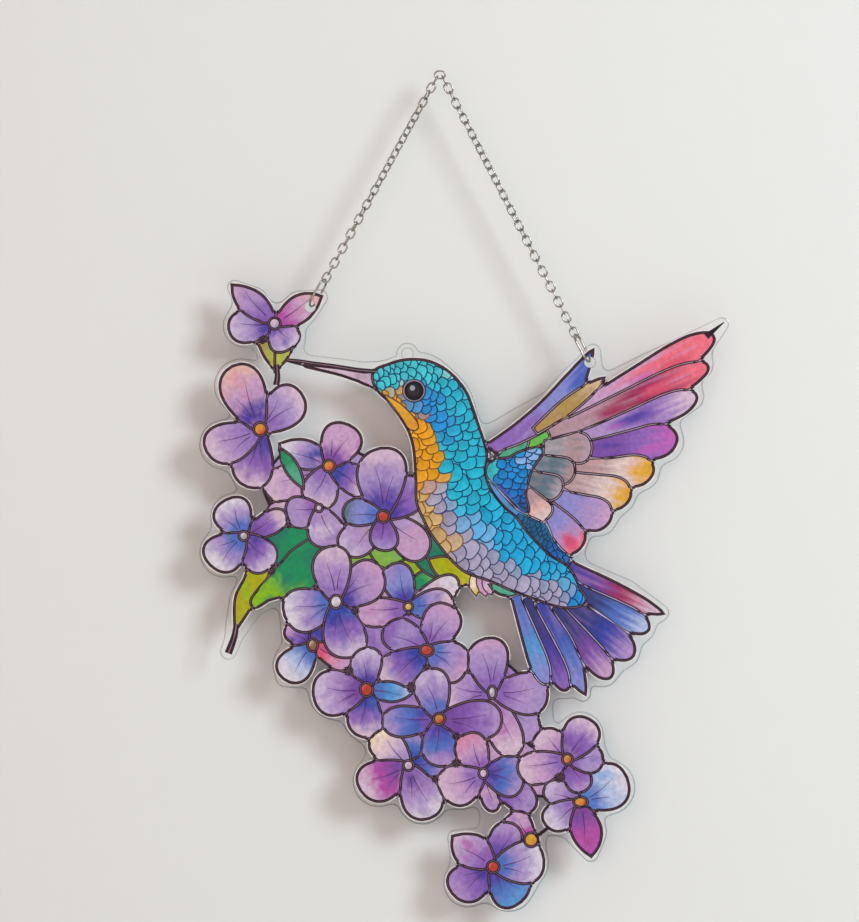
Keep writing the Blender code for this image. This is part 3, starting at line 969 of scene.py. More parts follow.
@dataclass
class Plumage:
    """Small rounded feathers in rows that overlap like tiles."""

    name: str
    area: Sequence[Point]
    axis: Sequence[Point]           # the line that the rows cross, from the head down
    zones: Sequence[Zone]
    smallest: float                 # radius of the first feather, in millimetres
    largest: float                  # and of those in the middle
    last: float                     # and of the last
    half_width: float               # how far the rows reach to either side
    spacing: float = 1.42           # distance between neighbours, in radii
    row_spacing: float = 0.86       # between rows, as a share of that distance
    bow: float = 0.012              # how much a row's ends hang back
    jitter: float = 0.26            # how uneven the feathers' places are, in radii
    unevenness: float = 0.16        # and their sizes and directions
    shade: float = 0.12             # and their lightness
    crowding: float = 0.35          # how near two may be, in their distances
    edge: float = 1.3               # how near to the outline one may be, in radii
    broadest: float = 0.6           # where on the axis the feathers are largest
    depth: float = 0.86             # share of the colours' lightness that is kept
    vividness: float = 1.3
    stray: float = 1.5              # how far a feather's colour may come from
    darkest: float = 0.004          # the least of red, green or blue

    def radius(self, share: float) -> float:
        """Work out a feather's radius.

        Args:
            share: how far along the axis it is.

        Returns:
            The radius, in millimetres.
        """
        if share < self.broadest:
            grown = (share / self.broadest) ** 0.8
            return self.smallest + (self.largest - self.smallest) * grown
        shrunk = (share - self.broadest) / (1 - self.broadest)
        return self.largest + (self.last - self.largest) * shrunk

    def colour(self, place: Vector, shade: float) -> Colour:
        """Mix the zones' inks at a place.

        Args:
            place: the place.
            shade: how much lighter the colour is made.

        Returns:
            The linear colour.
        """
        total, mixed = 0.0, Vector((0.0, 0.0, 0.0))
        # Sines of uneven steps stand in for chance here and in each row.
        stray = Vector((math.sin(3.1 * place.x + 1.7 * place.y),
                        math.sin(2.3 * place.y - 2.9 * place.x))) * self.stray
        for zone in self.zones:
            weight = zone.weight(place + stray)
            mixed += Vector(linear(zone.ink.value)[:3]) * weight
            total += weight
        mixed *= shade * self.depth / total
        grey = sum(mixed) / 3
        return (*(max(self.darkest, grey + (c - grey) * self.vividness) for c in mixed), 1.0)

    def feathers(self) -> list[Feather]:
        """Lay the feathers in rows from the head down.

        Returns:
            The plumage's feathers, tail first.
        """
        axis = smooth_loop(self.axis, STROKE_STEP, closed=False)
        area = smooth_loop(self.area)
        placed: list[Feather] = []
        distance, row = 0.0, 0
        lengths = [(b - a).length for a, b in zip(axis, axis[1:])]
        whole = sum(lengths)
        while distance < whole:
            index, walked = 0, 0.0
            while index < len(lengths) - 1 and walked + lengths[index] < distance:
                walked += lengths[index]
                index += 1
            along = (axis[index + 1] - axis[index]).normalized()
            middle = axis[index] + along * (distance - walked)
            size = self.radius(distance / whole)
            self.lay_row(placed, area, row, middle, along, size)
            distance += self.spacing * size * self.row_spacing
            row += 1
        return placed[::-1]

    def lay_row(self, placed: list[Feather], area: Loop, row: int, middle: Vector,
                along: Vector, size: float) -> None:
        """Add a row's feathers where there is room for them.

        Args:
            placed: the feathers so far, added to in place.
            area: the plumage's outline.
            row: the row's number.
            middle: where the row crosses the axis.
            along: the axis's direction there.
            size: the feathers' usual radius.
        """
        across = Vector((-along.y, along.x))
        count = math.ceil(self.half_width / (self.spacing * size))
        for step in range(-count, count + 1):
            first = math.sin(12.9 * step + 7.3 * row)
            second = math.sin(5.1 * row - 3.7 * step + 1.3)
            drift = self.jitter * size
            reach = (step + 0.5 * (row % 2)) * self.spacing * size + drift * first
            bow = along * (-self.bow * reach * reach + drift * second)
            spot = middle + across * reach + bow
            grown = size * (1 + self.unevenness * first)
            crowded = any((spot - other.spot).length
                          < self.crowding * self.spacing * (grown + other.size)
                          for other in placed)
            if not crowded and inside(spot, area, self.edge * size):
                turned = (along + across * self.unevenness * second).normalized()
                colour = self.colour(spot, 1 + self.shade * first * second)
                placed.append(Feather(spot, turned, grown, 0.5 + 0.5 * second, colour,
                                      self.name))


def plumages() -> list[Plumage]:
    """Describe the plumage of the body, the shoulder and the mantle.

    Returns:
        The three plumages.
    """
    return [
        Plumage("body", BODY, BODY_AXIS, BODY_ZONES, 1.35, 2.8, 2.1, 24.0),
        Plumage("shoulder", SHOULDER, SHOULDER_AXIS, SHOULDER_ZONES, 1.6, 1.75, 1.8, 8.0),
        Plumage("mantle", MANTLE, MANTLE_AXIS, MANTLE_ZONES, 0.9, 1.3, 1.7, 8.0),
    ]


class Ring(IntEnum):
    """Which of the rings round a cell a place is in, from the inside out."""

    INSIDE = 0
    EDGE = 1                        # dark leading
    CORE = 2                        # the leading's paler middle
    RIM = 3                         # dark leading again
    HALO = 4                        # a pale rim: painted reflection of the print's edge in the sheet
    NEAR = 5                        # clear sheet, close to the cell
    NONE = 9


def fill_specks(spots: Sequence[Vector], parts: list[list[int]], verdicts: list[Any],
                ink: tuple[str, Any], smallest: float) -> None:
    """Give the leading every patch of ground or clear sheet too small to be a pane.

    Args:
        spots: the plane's points.
        parts: its small triangles.
        verdicts: what each triangle is printed with, changed in place.
        ink: the leading that fills a speck.
        smallest: the area of the smallest pane, in square millimetres.
    """
    bare = (None, ("colour", (GROUND_INDEX,)))
    owner = {}
    for index, part in enumerate(parts):
        if verdicts[index] in bare:
            for a, b in around(part):
                owner[a, b] = index
    seen: set[int] = set()
    for first in sorted(set(owner.values())):
        if first in seen:
            continue
        patch, waiting, area = [], [first], 0.0
        seen.add(first)
        while waiting:
            index = waiting.pop()
            part = parts[index]
            patch.append(index)
            area += abs(signed_area([spots[i] for i in part]))
            for a, b in around(part):
                beyond = owner.get((b, a))
                if beyond is not None and beyond not in seen:
                    seen.add(beyond)
                    waiting.append(beyond)
        if area < smallest:
            for index in patch:
                verdicts[index] = ink


def weld_regions(spots: Sequence[Vector], parts: list[list[int]], owners: list[Any]
                 ) -> tuple[list[Vector], list[list[int]], list[Any]]:
    """Part a plane again, with only the borders between owners kept.

    Args:
        spots: the plane's points.
        parts: its small triangles.
        owners: who owns each triangle; None is nobody.

    Returns:
        The points, the owned triangles and their owners.
    """
    left = {}
    for part, owner in zip(parts, owners):
        for a, b in around(part):
            left[a, b] = owner
    borders = {(min(a, b), max(a, b)) for (a, b), owner in left.items()
               if left.get((b, a)) != owner}
    used = sorted({i for edge in borders for i in edge})
    place = {old: new for new, old in enumerate(used)}
    edges = sorted((place[a], place[b]) for a, b in borders)
    out, _, faces, _, _, _ = delaunay_2d_cdt([spots[i] for i in used], edges, [], 0, 1e-5,
                                             False)
    tree = BVHTree.FromPolygons([(spot.x, spot.y, 0.0) for spot in spots], parts)
    kept, holders = [], []
    for face in faces:
        middle = sum((out[i] for i in face), Vector((0.0, 0.0))) / len(face)
        _, _, index, _ = tree.find_nearest((middle.x, middle.y, 0.0), 1e-3)
        if index is not None and owners[index] is not None:
            kept.append(list(face))
            holders.append(owners[index])
    return list(out), kept, holders


INK_ATTRIBUTES = ("root_ink", "middle_ink", "tip_ink", "accent_ink")
FAN_WIDTH = 0.8                 # of a wash's width, what one radian of a fan takes
STRAIGHT_WIDTH = 10.0           # millimetres that a straight wash's width stands for


@dataclass(frozen=True)
class Wash:
    """How the inks run over a cell, straight or as a fan."""

    colours: Sequence[Colour]       # root, middle, tip and accent
    root: Vector
    along: Vector
    reach: float
    streaks: float                  # 0 washes and 1 feather streaks
    fan: bool

    def place(self, spot: Vector) -> tuple[float, float]:
        """Find a place in the wash.

        Args:
            spot: its place on the sheet.

        Returns:
            How far along the wash it is, as a share, and how far across.
        """
        shift = spot - self.root
        across = shift.x * self.along.y - shift.y * self.along.x
        if self.fan:
            turn = math.atan2(across, shift.dot(self.along))
            return shift.length / self.reach, FAN_WIDTH * turn
        return shift.dot(self.along) / self.reach, across / STRAIGHT_WIDTH


@dataclass
class Picture:
    """The printed picture: one flat film of ink, parted into colours and leading."""

    depth: float = -1.53            # the film's place in front of the sheet's middle
    shrink: float = -0.16           # how far the colour stays inside its outline
    inner: float = 0.20             # then dark leading to here
    middle: float = 0.46            # the leading's paler core to here
    outer: float = 0.80             # and dark to here
    halo: float = 1.06              # and a pale rim, a painted reflection of the print's edge in the sheet, to here
    near: float = 1.8               # cells closer than this grow towards each other
    vein_width: float = 0.34
    vein: str = "#4a2c54"
    smallest_pane: float = 2.4      # in square millimetres
    feather_line: float = 0.19      # half the line between two small feathers
    feather_reach: float = 0.7      # how far round one its colour fills a gap, in radii
    plain_streaks: float = 0.15     # how streaky a pane's wash is
    petal_streaks: float = 0.45     # and a petal's
    hole_margin: float = 1.76       # no ink within this of a hole's middle
    eye: Point = (-8.2, -101.4)
    eye_rings: Sequence[tuple[Point, float, str]] = (
        ((0, 0), 3.8, DARK_INK), ((-0.05, 0.05), 3.45, "#8c8795"), ((0, 0), 3.1, "#18141c"),
        ((-0.2, 0.3), 2.0, "#2b2730"), ((-0.5, 0.9), 0.85, "#8b98a0"))
    # The pale halo colour is a painted reflection of the print's edge in the sheet.
    cores: dict[str, str] = field(default_factory=lambda: {
        "core": "#67535f", "wing": "#988794", "pale": "#aaa4c2", "rim": "#4a3640",
        "halo": "#dcd8d6"})
    warm_from: float = 1.5          # red over blue, past which a small feather is warm
    pale_from: float = 0.55         # and past which it is pale
    feather_inks: dict[str, str] = field(default_factory=lambda: {
        "cool": "#0f3560", "warm": "#7c4a16", "pale": "#344062"})

    def cells(self) -> list[Cell]:
        """Draw every cell of the picture.

        Returns:
            The cells, from the back to the front.
        """
        body = Cell(BODY, "sky sky sky sky", (0, -100), (40, -160), scales="body",
                    grows=False)
        return flowers() + wing_and_tail() + head_and_feet() + [body] + throat()

    def build(self) -> list[bpy.types.Object]:
        """Part the plane into cells and make the colour and the leading of them.

        Returns:
            The colour film and the leading film.
        """
        cells, strokes = self.cells(), bars()
        feathers = [small for plumage in plumages() for small in plumage.feathers()]
        loops, labels = self.draw(cells, feathers, strokes)
        verts, faces = [], []
        for loop in loops:
            faces.append(list(range(len(verts), len(verts) + len(loop))))
            verts += loop
        spots, _, parts, _, _, owners = delaunay_2d_cdt(verts, [], faces, 1, 1e-4, True)
        verdicts = [self.judge([labels[i] for i in owner], cells, feathers, strokes)
                    for owner in owners]
        fill_specks(spots, parts, verdicts, ("leading", linear(self.cores["rim"])),
                    self.smallest_pane)
        spots, parts, verdicts = weld_regions(spots, parts, verdicts)
        colour_faces, leading_faces = [], []
        for part, (kind, value) in zip(parts, verdicts):
            if kind == "leading":
                leading_faces.append((part, value))
            else:
                found = feathers[value] if isinstance(value, int) else cells[value[0]]
                colour_faces.append((part, found))
        LOG.info("print: %d coloured and %d leading faces", len(colour_faces), len(leading_faces))
        return [self.colour_film(spots, colour_faces), self.leading_film(spots, leading_faces)]

    def draw(self, cells: list[Cell], feathers: list[Feather], strokes: list[Bar]
             ) -> tuple[list[Loop], list[Label]]:
        """Draw every loop that parts the plane.

        Args:
            cells: the picture's cells.
            feathers: the small feathers.
            strokes: the bars of leading.

        Returns:
            The loops and a label for each.
        """
        drawn: list[tuple[Loop, Label]] = []
        rings = (self.shrink, self.inner, self.middle, self.outer, self.halo, self.near)
        for index, cell in enumerate(cells):
            edge = smooth_loop(cell.outline)
            if signed_area(edge) < 0:
                edge.reverse()
            drawn += [(offset_loop(edge, distance * cell.leading), ("ring", index, ring))
                      for ring, distance in enumerate(rings)]
            drawn += [(stroke(vein, self.vein_width), ("vein", index, 0)) for vein in cell.veins]
        drawn += [(stroke(bar.points, bar.width, bar.taper), ("bar", index, 0))
                  for index, bar in enumerate(strokes)]
        line, reach = self.feather_line, self.feather_reach
        for index, small in enumerate(feathers):
            drawn += [(offset_loop(small.outline(), distance), ("feather", index, ring))
                      for ring, distance in enumerate((-line, line, reach * small.size))]
        drawn += [(ellipse(centre, self.hole_margin, self.hole_margin), ("hole", index, 0))
                  for index, centre in enumerate(HOLES.values())]
        for index, ((right, up), size, _) in enumerate(self.eye_rings):
            centre = (self.eye[0] + right, self.eye[1] + up)
            drawn.append((ellipse(centre, size, size), ("eye", index, 0)))
        return [loop for loop, _ in drawn], [label for _, label in drawn]

    def judge(self, held: list[Label], cells: list[Cell], feathers: list[Feather],
              strokes: list[Bar]) -> tuple[str, Any] | None:
        """Say what a small face of the plane is printed with.

        Args:
            held: what the face lies in, as kind, index and ring.
            cells: the picture's cells.
            feathers: the small feathers.
            strokes: the bars of leading.

        Returns:
            None where the sheet stays clear, or the film's kind and the face's ink.
        """
        rings: dict[int, int] = {}
        eye = bar = -1
        for kind, index, ring in held:
            if kind == "hole":
                return None
            if kind == "ring":
                rings[index] = min(ring, rings.get(index, Ring.NONE))
            elif kind == "eye":
                eye = max(eye, index)
            elif kind == "bar":
                bar = max(bar, index)
        if eye >= 0:
            return "leading", linear(self.eye_rings[eye][2])
        if bar >= 0:
            return "leading", linear(strokes[bar].hex_value)
        ground = rings.pop(GROUND_INDEX, Ring.NONE)
        crowded = len(rings) >= 3 or list(rings.values()).count(Ring.HALO) >= 2
        close = {index: ring for index, ring in rings.items() if ring <= Ring.RIM}
        if not close and ground == Ring.INSIDE and not crowded:
            return "colour", (GROUND_INDEX,)
        if not close:
            if crowded:
                return "leading", linear(self.cores["rim"])
            if Ring.HALO not in rings.values() or ground < Ring.NONE:
                return ("leading", linear(DARK_INK)) if ground < Ring.HALO else None
            # Round a lone cell the pale colour paints the reflection of its edge in the sheet.
            return "leading", linear(self.cores["halo"] if len(rings) == 1 else DARK_INK)
        top = max(close)
        cell = cells[top]
        under = Ring.INSIDE if ground == Ring.INSIDE else Ring.NONE
        nearest = min((ring for index, ring in rings.items() if index != top), default=under)
        if close[top] == Ring.INSIDE and cell.scales:
            return self.judge_feather(held, feathers, cell.scales, top)
        grown = close[top] == Ring.EDGE and nearest in (Ring.HALO, Ring.NEAR) and cell.grows
        if close[top] == Ring.INSIDE or grown:
            if ("vein", top, 0) in held:
                return "leading", linear(self.vein)
            return "colour", (top,)
        return "leading", linear(self.line(close[top], nearest, cell.core))

    def line(self, ring: int, nearest: int, core: str) -> str:
        """Return the hex value of the leading at a place.

        Args:
            ring: the place's ring round its own cell, from EDGE to RIM.
            nearest: its ring round the nearest other cell.
            core: the name of the cell's core colour.

        Returns:
            The dark line's colour, or the core's.
        """
        if ring == Ring.CORE and nearest == Ring.NONE:
            return self.cores["rim"]
        along_middle = ring == nearest or (ring, nearest) == (Ring.RIM, Ring.HALO)
        over_another = ring == Ring.CORE and nearest == Ring.INSIDE
        paler = ring > Ring.EDGE and (along_middle or over_another)
        return self.cores[core] if paler else DARK_INK

    def judge_feather(self, held: list[Label], feathers: list[Feather], name: str,
                      cell: int) -> tuple[str, Any]:
        """Say which small feather, or line between two, a face of a plumage is.

        Args:
            held: what the face lies in.
            feathers: the small feathers.
            name: the plumage.
            cell: the cell that it fills.

        Returns:
            The film's kind and the face's ink.
        """
        near = [(index, ring) for kind, index, ring in held
                if kind == "feather" and feathers[index].plumage == name]
        found = [(index, ring) for index, ring in near if ring < 2]
        if not found:
            if name == "body" and near:
                return "colour", max(index for index, _ in near)
            return "colour", (cell,)
        top = max(index for index, _ in found)
        if (top, 0) in found:
            return "colour", top
        red, _, blue, _ = feathers[top].colour
        tone = ("warm" if red > self.warm_from * blue
                else "pale" if red > self.pale_from * blue else "cool")
        return "leading", linear(self.feather_inks[tone])

    def film(self, name: str, spots: Sequence[Vector], faces: list[list[int]]
             ) -> bpy.types.Mesh:
        """Make a flat mesh on the sheet's front, looking towards the viewer.

        Args:
            name: the mesh's name.
            spots: the plane's points.
            faces: its triangles, as places among the points.

        Returns:
            The mesh.
        """
        used = sorted({i for part in faces for i in part})
        place = {old: new for new, old in enumerate(used)}
        mesh = bpy.data.meshes.new(name)
        verts = [(spots[i].x * MM, self.depth * MM, spots[i].y * MM) for i in used]
        mesh.from_pydata(verts, [], [[place[i] for i in part] for part in faces])
        mesh.update()
        return mesh

    def colour_film(self, spots: Sequence[Vector], faces: list[tuple[list[int], Any]]
                    ) -> bpy.types.Object:
        """Make the coloured film, with its inks and washes as attributes.

        Args:
            spots: the plane's points.
            faces: its coloured triangles, each with the cell or small feather it belongs to.

        Returns:
            The film.
        """
        mesh = self.film("print_colours", spots, [part for part, _ in faces])
        inks: dict[str, list[float]] = {name: [] for name in INK_ATTRIBUTES}
        streaks: list[float] = []
        washes: list[float] = []
        known: dict[int, Wash] = {}
        for part, owner in faces:
            if id(owner) not in known:
                known[id(owner)] = self.wash(owner)
            wash = known[id(owner)]
            streaks.append(wash.streaks)
            for name, colour in zip(INK_ATTRIBUTES, wash.colours):
                inks[name] += colour
            for old in part:
                washes += wash.place(spots[old])
        for name in INK_ATTRIBUTES:
            mesh.attributes.new(name, "FLOAT_COLOR", "FACE")
            mesh.attributes[name].data.foreach_set("color", inks[name])
        mesh.attributes.new("streaks", "FLOAT", "FACE")
        mesh.attributes["streaks"].data.foreach_set("value", streaks)
        mesh.uv_layers.new(name="wash")
        mesh.uv_layers["wash"].data.foreach_set("uv", washes)
        return add_object("print_colours", mesh)

    def wash(self, owner: Cell | Feather) -> Wash:
        """Lay out a cell's or a small feather's wash.

        Args:
            owner: what the wash fills.

        Returns:
            The wash.
        """
        if isinstance(owner, Cell):
            colours = [linear(ink.value) for ink in owner.colours()]
            least = self.plain_streaks if owner.tip else self.petal_streaks
            streaks = max(owner.streaks, least)
            return Wash(colours, *self.wash_axis(owner), streaks, fan=not owner.tip)
        # A small feather is darker at its root and a little paler at its end.
        lighter = tuple(min(1.0, c * 1.12 + 0.012) for c in owner.colour[:3]) + (1.0,)
        darker = tuple(c * 0.86 for c in owner.colour[:3]) + (1.0,)
        return Wash([darker, owner.colour, lighter, lighter],
                    owner.spot - owner.along * owner.size, owner.along, 2 * owner.size,
                    0.0, fan=False)

    def wash_axis(self, cell: Cell) -> tuple[Vector, Vector, float]:
        """Find how a cell's wash runs.

        Args:
            cell: the cell.

        Returns:
            Where the wash starts, its direction and its length.
        """
        root = Vector(cell.root[:2])
        if cell.tip:
            end = Vector(cell.tip[:2])
        else:
            middle = sum((Vector(p[:2]) for p in cell.outline), Vector((0, 0)))
            middle /= len(cell.outline)
            aim = (middle - root).normalized()
            reach = max((Vector(p[:2]) - root).dot(aim) for p in cell.outline)
            end = root + aim * reach
        return root, (end - root).normalized(), (end - root).length

    def leading_film(self, spots: Sequence[Vector], faces: list[tuple[list[int], Any]]
                     ) -> bpy.types.Object:
        """Make the leading's film, with its ink as an attribute.

        Args:
            spots: the plane's points.
            faces: its triangles of leading, each with its colour.

        Returns:
            The film.
        """
        mesh = self.film("print_leading", spots, [part for part, _ in faces])
        mesh.attributes.new("ink", "FLOAT_COLOR", "FACE")
        values = [part for _, colour in faces for part in colour]
        mesh.attributes["ink"].data.foreach_set("color", values)
        return add_object("print_leading", mesh)


# --- finishes ----------------------------------------------------------------------

@dataclass(frozen=True)
class ClearAcrylic:
    """Cast acrylic sheet: glossy faces, and a laser-cut edge that gathers light."""

    name: str
    tint: str
    alpha: float
    ior: float = 1.49
    roughness: float = 0.02

    def make(self) -> bpy.types.Material:
        """Return the material."""
        return new_material(self.name, Base_Color=linear(self.tint), IOR=self.ior,
                            Roughness=self.roughness, Transmission_Weight=1.0,
                            Alpha=self.alpha)[0]


@dataclass(frozen=True)
class Bloom:
    """A soft patch of stronger ink: its middle, half its length and width, and its slant."""

    spot: Point
    size: Point
    slant: float
    ink: Ink
    strength: float = 0.85


BLOOMS = (
    Bloom((66, -91.6), (9, 1.8), 27, Ink.PINK, 0.7),
    Bloom((64.5, -97.2), (7, 2.2), 24, Ink.ORCHID, 0.55),
    Bloom((74.5, -92.8), (9, 3.2), 27, Ink.RED),
    Bloom((54.5, -107.8), (8, 2.6), 22, Ink.CRIMSON, 0.9),
    Bloom((69, -100.6), (8, 2.4), 24, Ink.RED, 0.8),
    Bloom((61, -110.4), (11, 2.4), 21, Ink.INDIGO, 0.9),
    Bloom((56, -112.6), (5, 1.2), 18, Ink.ORCHID, 0.5),
    Bloom((71, -109.5), (6, 1.6), 24, Ink.MAUVE, 0.7),
    Bloom((54, -118.6), (6, 1.6), 4, Ink.INDIGO, 0.5),
    Bloom((67, -119.8), (7, 2.4), 12, Ink.ORCHID, 0.8),
    Bloom((63.5, -127.4), (6, 2.8), -4, Ink.AMBER, 0.9),
    Bloom((57.2, -135.2), (3.6, 2.2), -20, Ink.AMBER, 0.7),
    Bloom((41.2, -149.2), (4.8, 3.0), -52, Ink.CERISE, 0.9),
    Bloom((37.4, -143), (4.5, 2.0), -56, Ink.PERI, 0.7),
    Bloom((44.8, -97.6), (8, 2.8), 45, Ink.COBALT, 0.95),
    Bloom((34.5, -105.6), (7, 2.4), 35, Ink.PERI, 0.8),
    Bloom((21, -116), (5, 3.4), 35, Ink.VIOLET, 0.7),
    Bloom((20, -132.6), (6, 1.4), -44, Ink.INDIGO, 0.75),
    Bloom((26, -137.4), (3.4, 1.6), -50, Ink.NIGHT, 0.6),
)


@dataclass(frozen=True)
class UvInk:
    """UV-cured ink, printed on the sheet: washes of colour that run into each other."""

    name: str = "uv_cured_ink"
    roughness: float = 0.34
    patch: float = 0.0038           # size of the washes' uneven patches, in metres
    grain: float = 0.0014           # size of the mottling
    uneven: float = 0.7             # how far the patches push the inks along a wash
    dab: float = 0.62               # the accent's patches in an uneven patch's width
    accent: float = 0.7             # how fully the accent covers what is under it
    middle_run: tuple[float, float] = (0.24, 0.62)  # where the middle ink takes over
    tip_run: tuple[float, float] = (0.56, 0.98)     # and the tip's
    dab_run: tuple[float, float] = (0.48, 0.72)     # and how light a dab of accent is
    alpha: float = 0.97
    specular: float = 0.12

    def make(self) -> bpy.types.Material:
        """Make the ink of the washes, their streaks and blooms, with a fine mottle.

        Returns:
            The material.
        """
        material, tree, shader = new_material(
            self.name, Roughness=self.roughness, Specular_IOR_Level=self.specular,
            Alpha=self.alpha)
        place = add_node(tree, "ShaderNodeTexCoord").outputs["Object"]
        wash = add_node(tree, "ShaderNodeUVMap", {"uv_map": "wash"}).outputs["UV"]
        parts = add_node(tree, "ShaderNodeSeparateXYZ", Vector=wash)
        # Brush streaks: about two millimetres wide and most of a feather long.
        uneven = self.brushed(
            tree, place, wash,
            {"Scale": 1 / self.patch, "Detail": 3.0, "Roughness": 0.55, "Distortion": 0.6},
            {"Scale": (1.1, 6.0, 1.0)}, {"Scale": 1.0, "Detail": 2.0, "Roughness": 0.5})
        shift = add_node(tree, "ShaderNodeMath",
                         {"operation": "MULTIPLY_ADD", 1: self.uneven, 2: -self.uneven / 2},
                         in_0=uneven)
        along = add_node(tree, "ShaderNodeMath", {"operation": "ADD", "use_clamp": True},
                         in_0=parts.outputs["X"], in_1=shift.outputs[0]).outputs[0]
        inks = [add_node(tree, "ShaderNodeAttribute", {"attribute_name": name}).outputs["Color"]
                for name in INK_ATTRIBUTES]
        ink = self.blend(tree, along, self.middle_run, inks[0], inks[1])
        ink = self.blend(tree, along, self.tip_run, ink, inks[2])
        dabs = self.brushed(
            tree, place, wash,
            {"Scale": self.dab / self.patch, "Detail": 1.0, "Roughness": 0.4,
             "Distortion": 0.8},
            {"Location": (3.1, 1.7, 0.0), "Scale": (1.4, 3.4, 1.0)},
            {"Scale": 1.0, "Detail": 1.0, "Roughness": 0.4})
        ink = self.blend(tree, dabs, self.dab_run, ink, inks[3], self.accent)
        for bloom in BLOOMS:
            ink = self.bloom(tree, place, bloom, ink)
        fine = {"Scale": 1 / self.grain, "Detail": 3.0, "Roughness": 0.55, "Distortion": 0.4}
        tree.links.new(mottle(tree, ink, fine, 0.86, 1.16), shader.inputs["Base Color"])
        return material

    def brushed(self, tree: Tree, place: Socket, wash: Socket, patches: dict[str, float],
                stretch: dict[str, Any], streaks: dict[str, float]) -> Socket:
        """Lay uneven patches on a wash, and streaks along it on a feather.

        Args:
            tree: the material's nodes.
            place: where the patches are read.
            wash: where the streaks are read.
            patches: the patches' scale and detail.
            stretch: how the wash is drawn out for the streaks.
            streaks: the streaks' scale and detail.

        Returns:
            How light the patch or streak is, from 0 to 1.
        """
        streaky = add_node(tree, "ShaderNodeAttribute", {"attribute_name": "streaks"})
        patchy = add_node(tree, "ShaderNodeTexNoise", patches, Vector=place)
        drawn = add_node(tree, "ShaderNodeMapping", stretch, Vector=wash)
        streak = add_node(tree, "ShaderNodeTexNoise", streaks, Vector=drawn.outputs[0])
        both = add_node(tree, "ShaderNodeMix", {"data_type": "FLOAT"},
                        in_0=streaky.outputs["Fac"], in_2=patchy.outputs["Fac"],
                        in_3=streak.outputs["Fac"])
        return both.outputs[0]

    def bloom(self, tree: Tree, place: Socket, bloom: Bloom, under: Socket) -> Socket:
        """Lay a soft patch of ink over what is under it.

        Args:
            tree: the material's nodes.
            place: where on the sheet the colour is read.
            bloom: the patch.
            under: the ink under it.

        Returns:
            The two inks together.
        """
        x, z = bloom.spot
        length, width = bloom.size
        moved = add_node(tree, "ShaderNodeMapping",
                         {"vector_type": "TEXTURE", "Location": (x * MM, 0.0, z * MM),
                          "Rotation": (0.0, -math.radians(bloom.slant), 0.0),
                          "Scale": (length * MM, 1.0, width * MM)}, Vector=place)
        reach = add_node(tree, "ShaderNodeVectorMath", {"operation": "LENGTH"},
                         in_0=moved.outputs[0])
        share = add_node(tree, "ShaderNodeMapRange",
                         {"interpolation_type": "SMOOTHSTEP", "From Min": 0.2, "From Max": 1.0,
                          "To Min": bloom.strength, "To Max": 0.0}, Value=reach.outputs["Value"])
        mix = add_node(tree, "ShaderNodeMix",
                       {"data_type": "RGBA", 7: linear(bloom.ink.value)},
                       in_0=share.outputs[0], in_6=under)
        return mix.outputs[2]

    def blend(self, tree: Tree, value: Socket, run: tuple[float, float], first: Socket,
              second: Socket, strength: float = 1.0) -> Socket:
        """Run one ink into another as a value rises.

        Args:
            tree: the material's nodes.
            value: what the blend follows.
            run: the value below which only the first ink shows, and that above which
                the second does.
            first: the first ink.
            second: the second ink.
            strength: how fully the second covers the first.

        Returns:
            The blended colour.
        """
        ramp = add_node(tree, "ShaderNodeMapRange",
                        {"interpolation_type": "SMOOTHSTEP", "From Min": run[0],
                         "From Max": run[1], "To Max": strength}, Value=value)
        mix = add_node(tree, "ShaderNodeMix", {"data_type": "RGBA"}, in_0=ramp.outputs[0],
                       in_6=first, in_7=second)
        return mix.outputs[2]


@dataclass(frozen=True)
class LeadingInk:
    """The same ink laid on densely, drawn as dark leading with a paler core."""

    name: str = "leading_ink"
    roughness: float = 0.32
    specular: float = 0.12
    patches: float = 420.0          # mottled patches in a metre

    def make(self) -> bpy.types.Material:
        """Return the material."""
        material, tree, shader = new_material(self.name, Roughness=self.roughness,
                                              Specular_IOR_Level=self.specular)
        ink = add_node(tree, "ShaderNodeAttribute", {"attribute_name": "ink"}).outputs["Color"]
        coarse = {"Scale": self.patches, "Detail": 2.0}
        tree.links.new(mottle(tree, ink, coarse, 0.8, 1.25), shader.inputs["Base Color"])
        return material


@dataclass(frozen=True)
class NickelSteel:
    """Nickel-plated steel wire, bent and tumbled, so bright with a soft grain."""

    name: str = "nickel_plated_steel_wire"
    colour: str = "#c4c1bc"
    dull: str = "#6b6864"
    grains: float = 900.0           # patches of the soft grain in a metre

    def make(self) -> bpy.types.Material:
        """Make the metal, duller and rougher in small patches.

        Returns:
            The material.
        """
        material, tree, shader = new_material(self.name, Metallic=1.0)
        place = add_node(tree, "ShaderNodeTexCoord").outputs["Object"]
        grain = add_node(tree, "ShaderNodeTexNoise", {"Scale": self.grains, "Detail": 3.0},
                         Vector=place).outputs["Fac"]
        mix = add_node(tree, "ShaderNodeMix",
                       {"data_type": "RGBA", 6: linear(self.dull), 7: linear(self.colour)},
                       in_0=grain)
        rough = add_node(tree, "ShaderNodeMapRange", {"To Min": 0.1, "To Max": 0.28},
                         Value=grain)
        tree.links.new(mix.outputs[2], shader.inputs["Base Color"])
        tree.links.new(rough.outputs[0], shader.inputs["Roughness"])
        return material


# --- the plate -----------------------------------------------------------------------

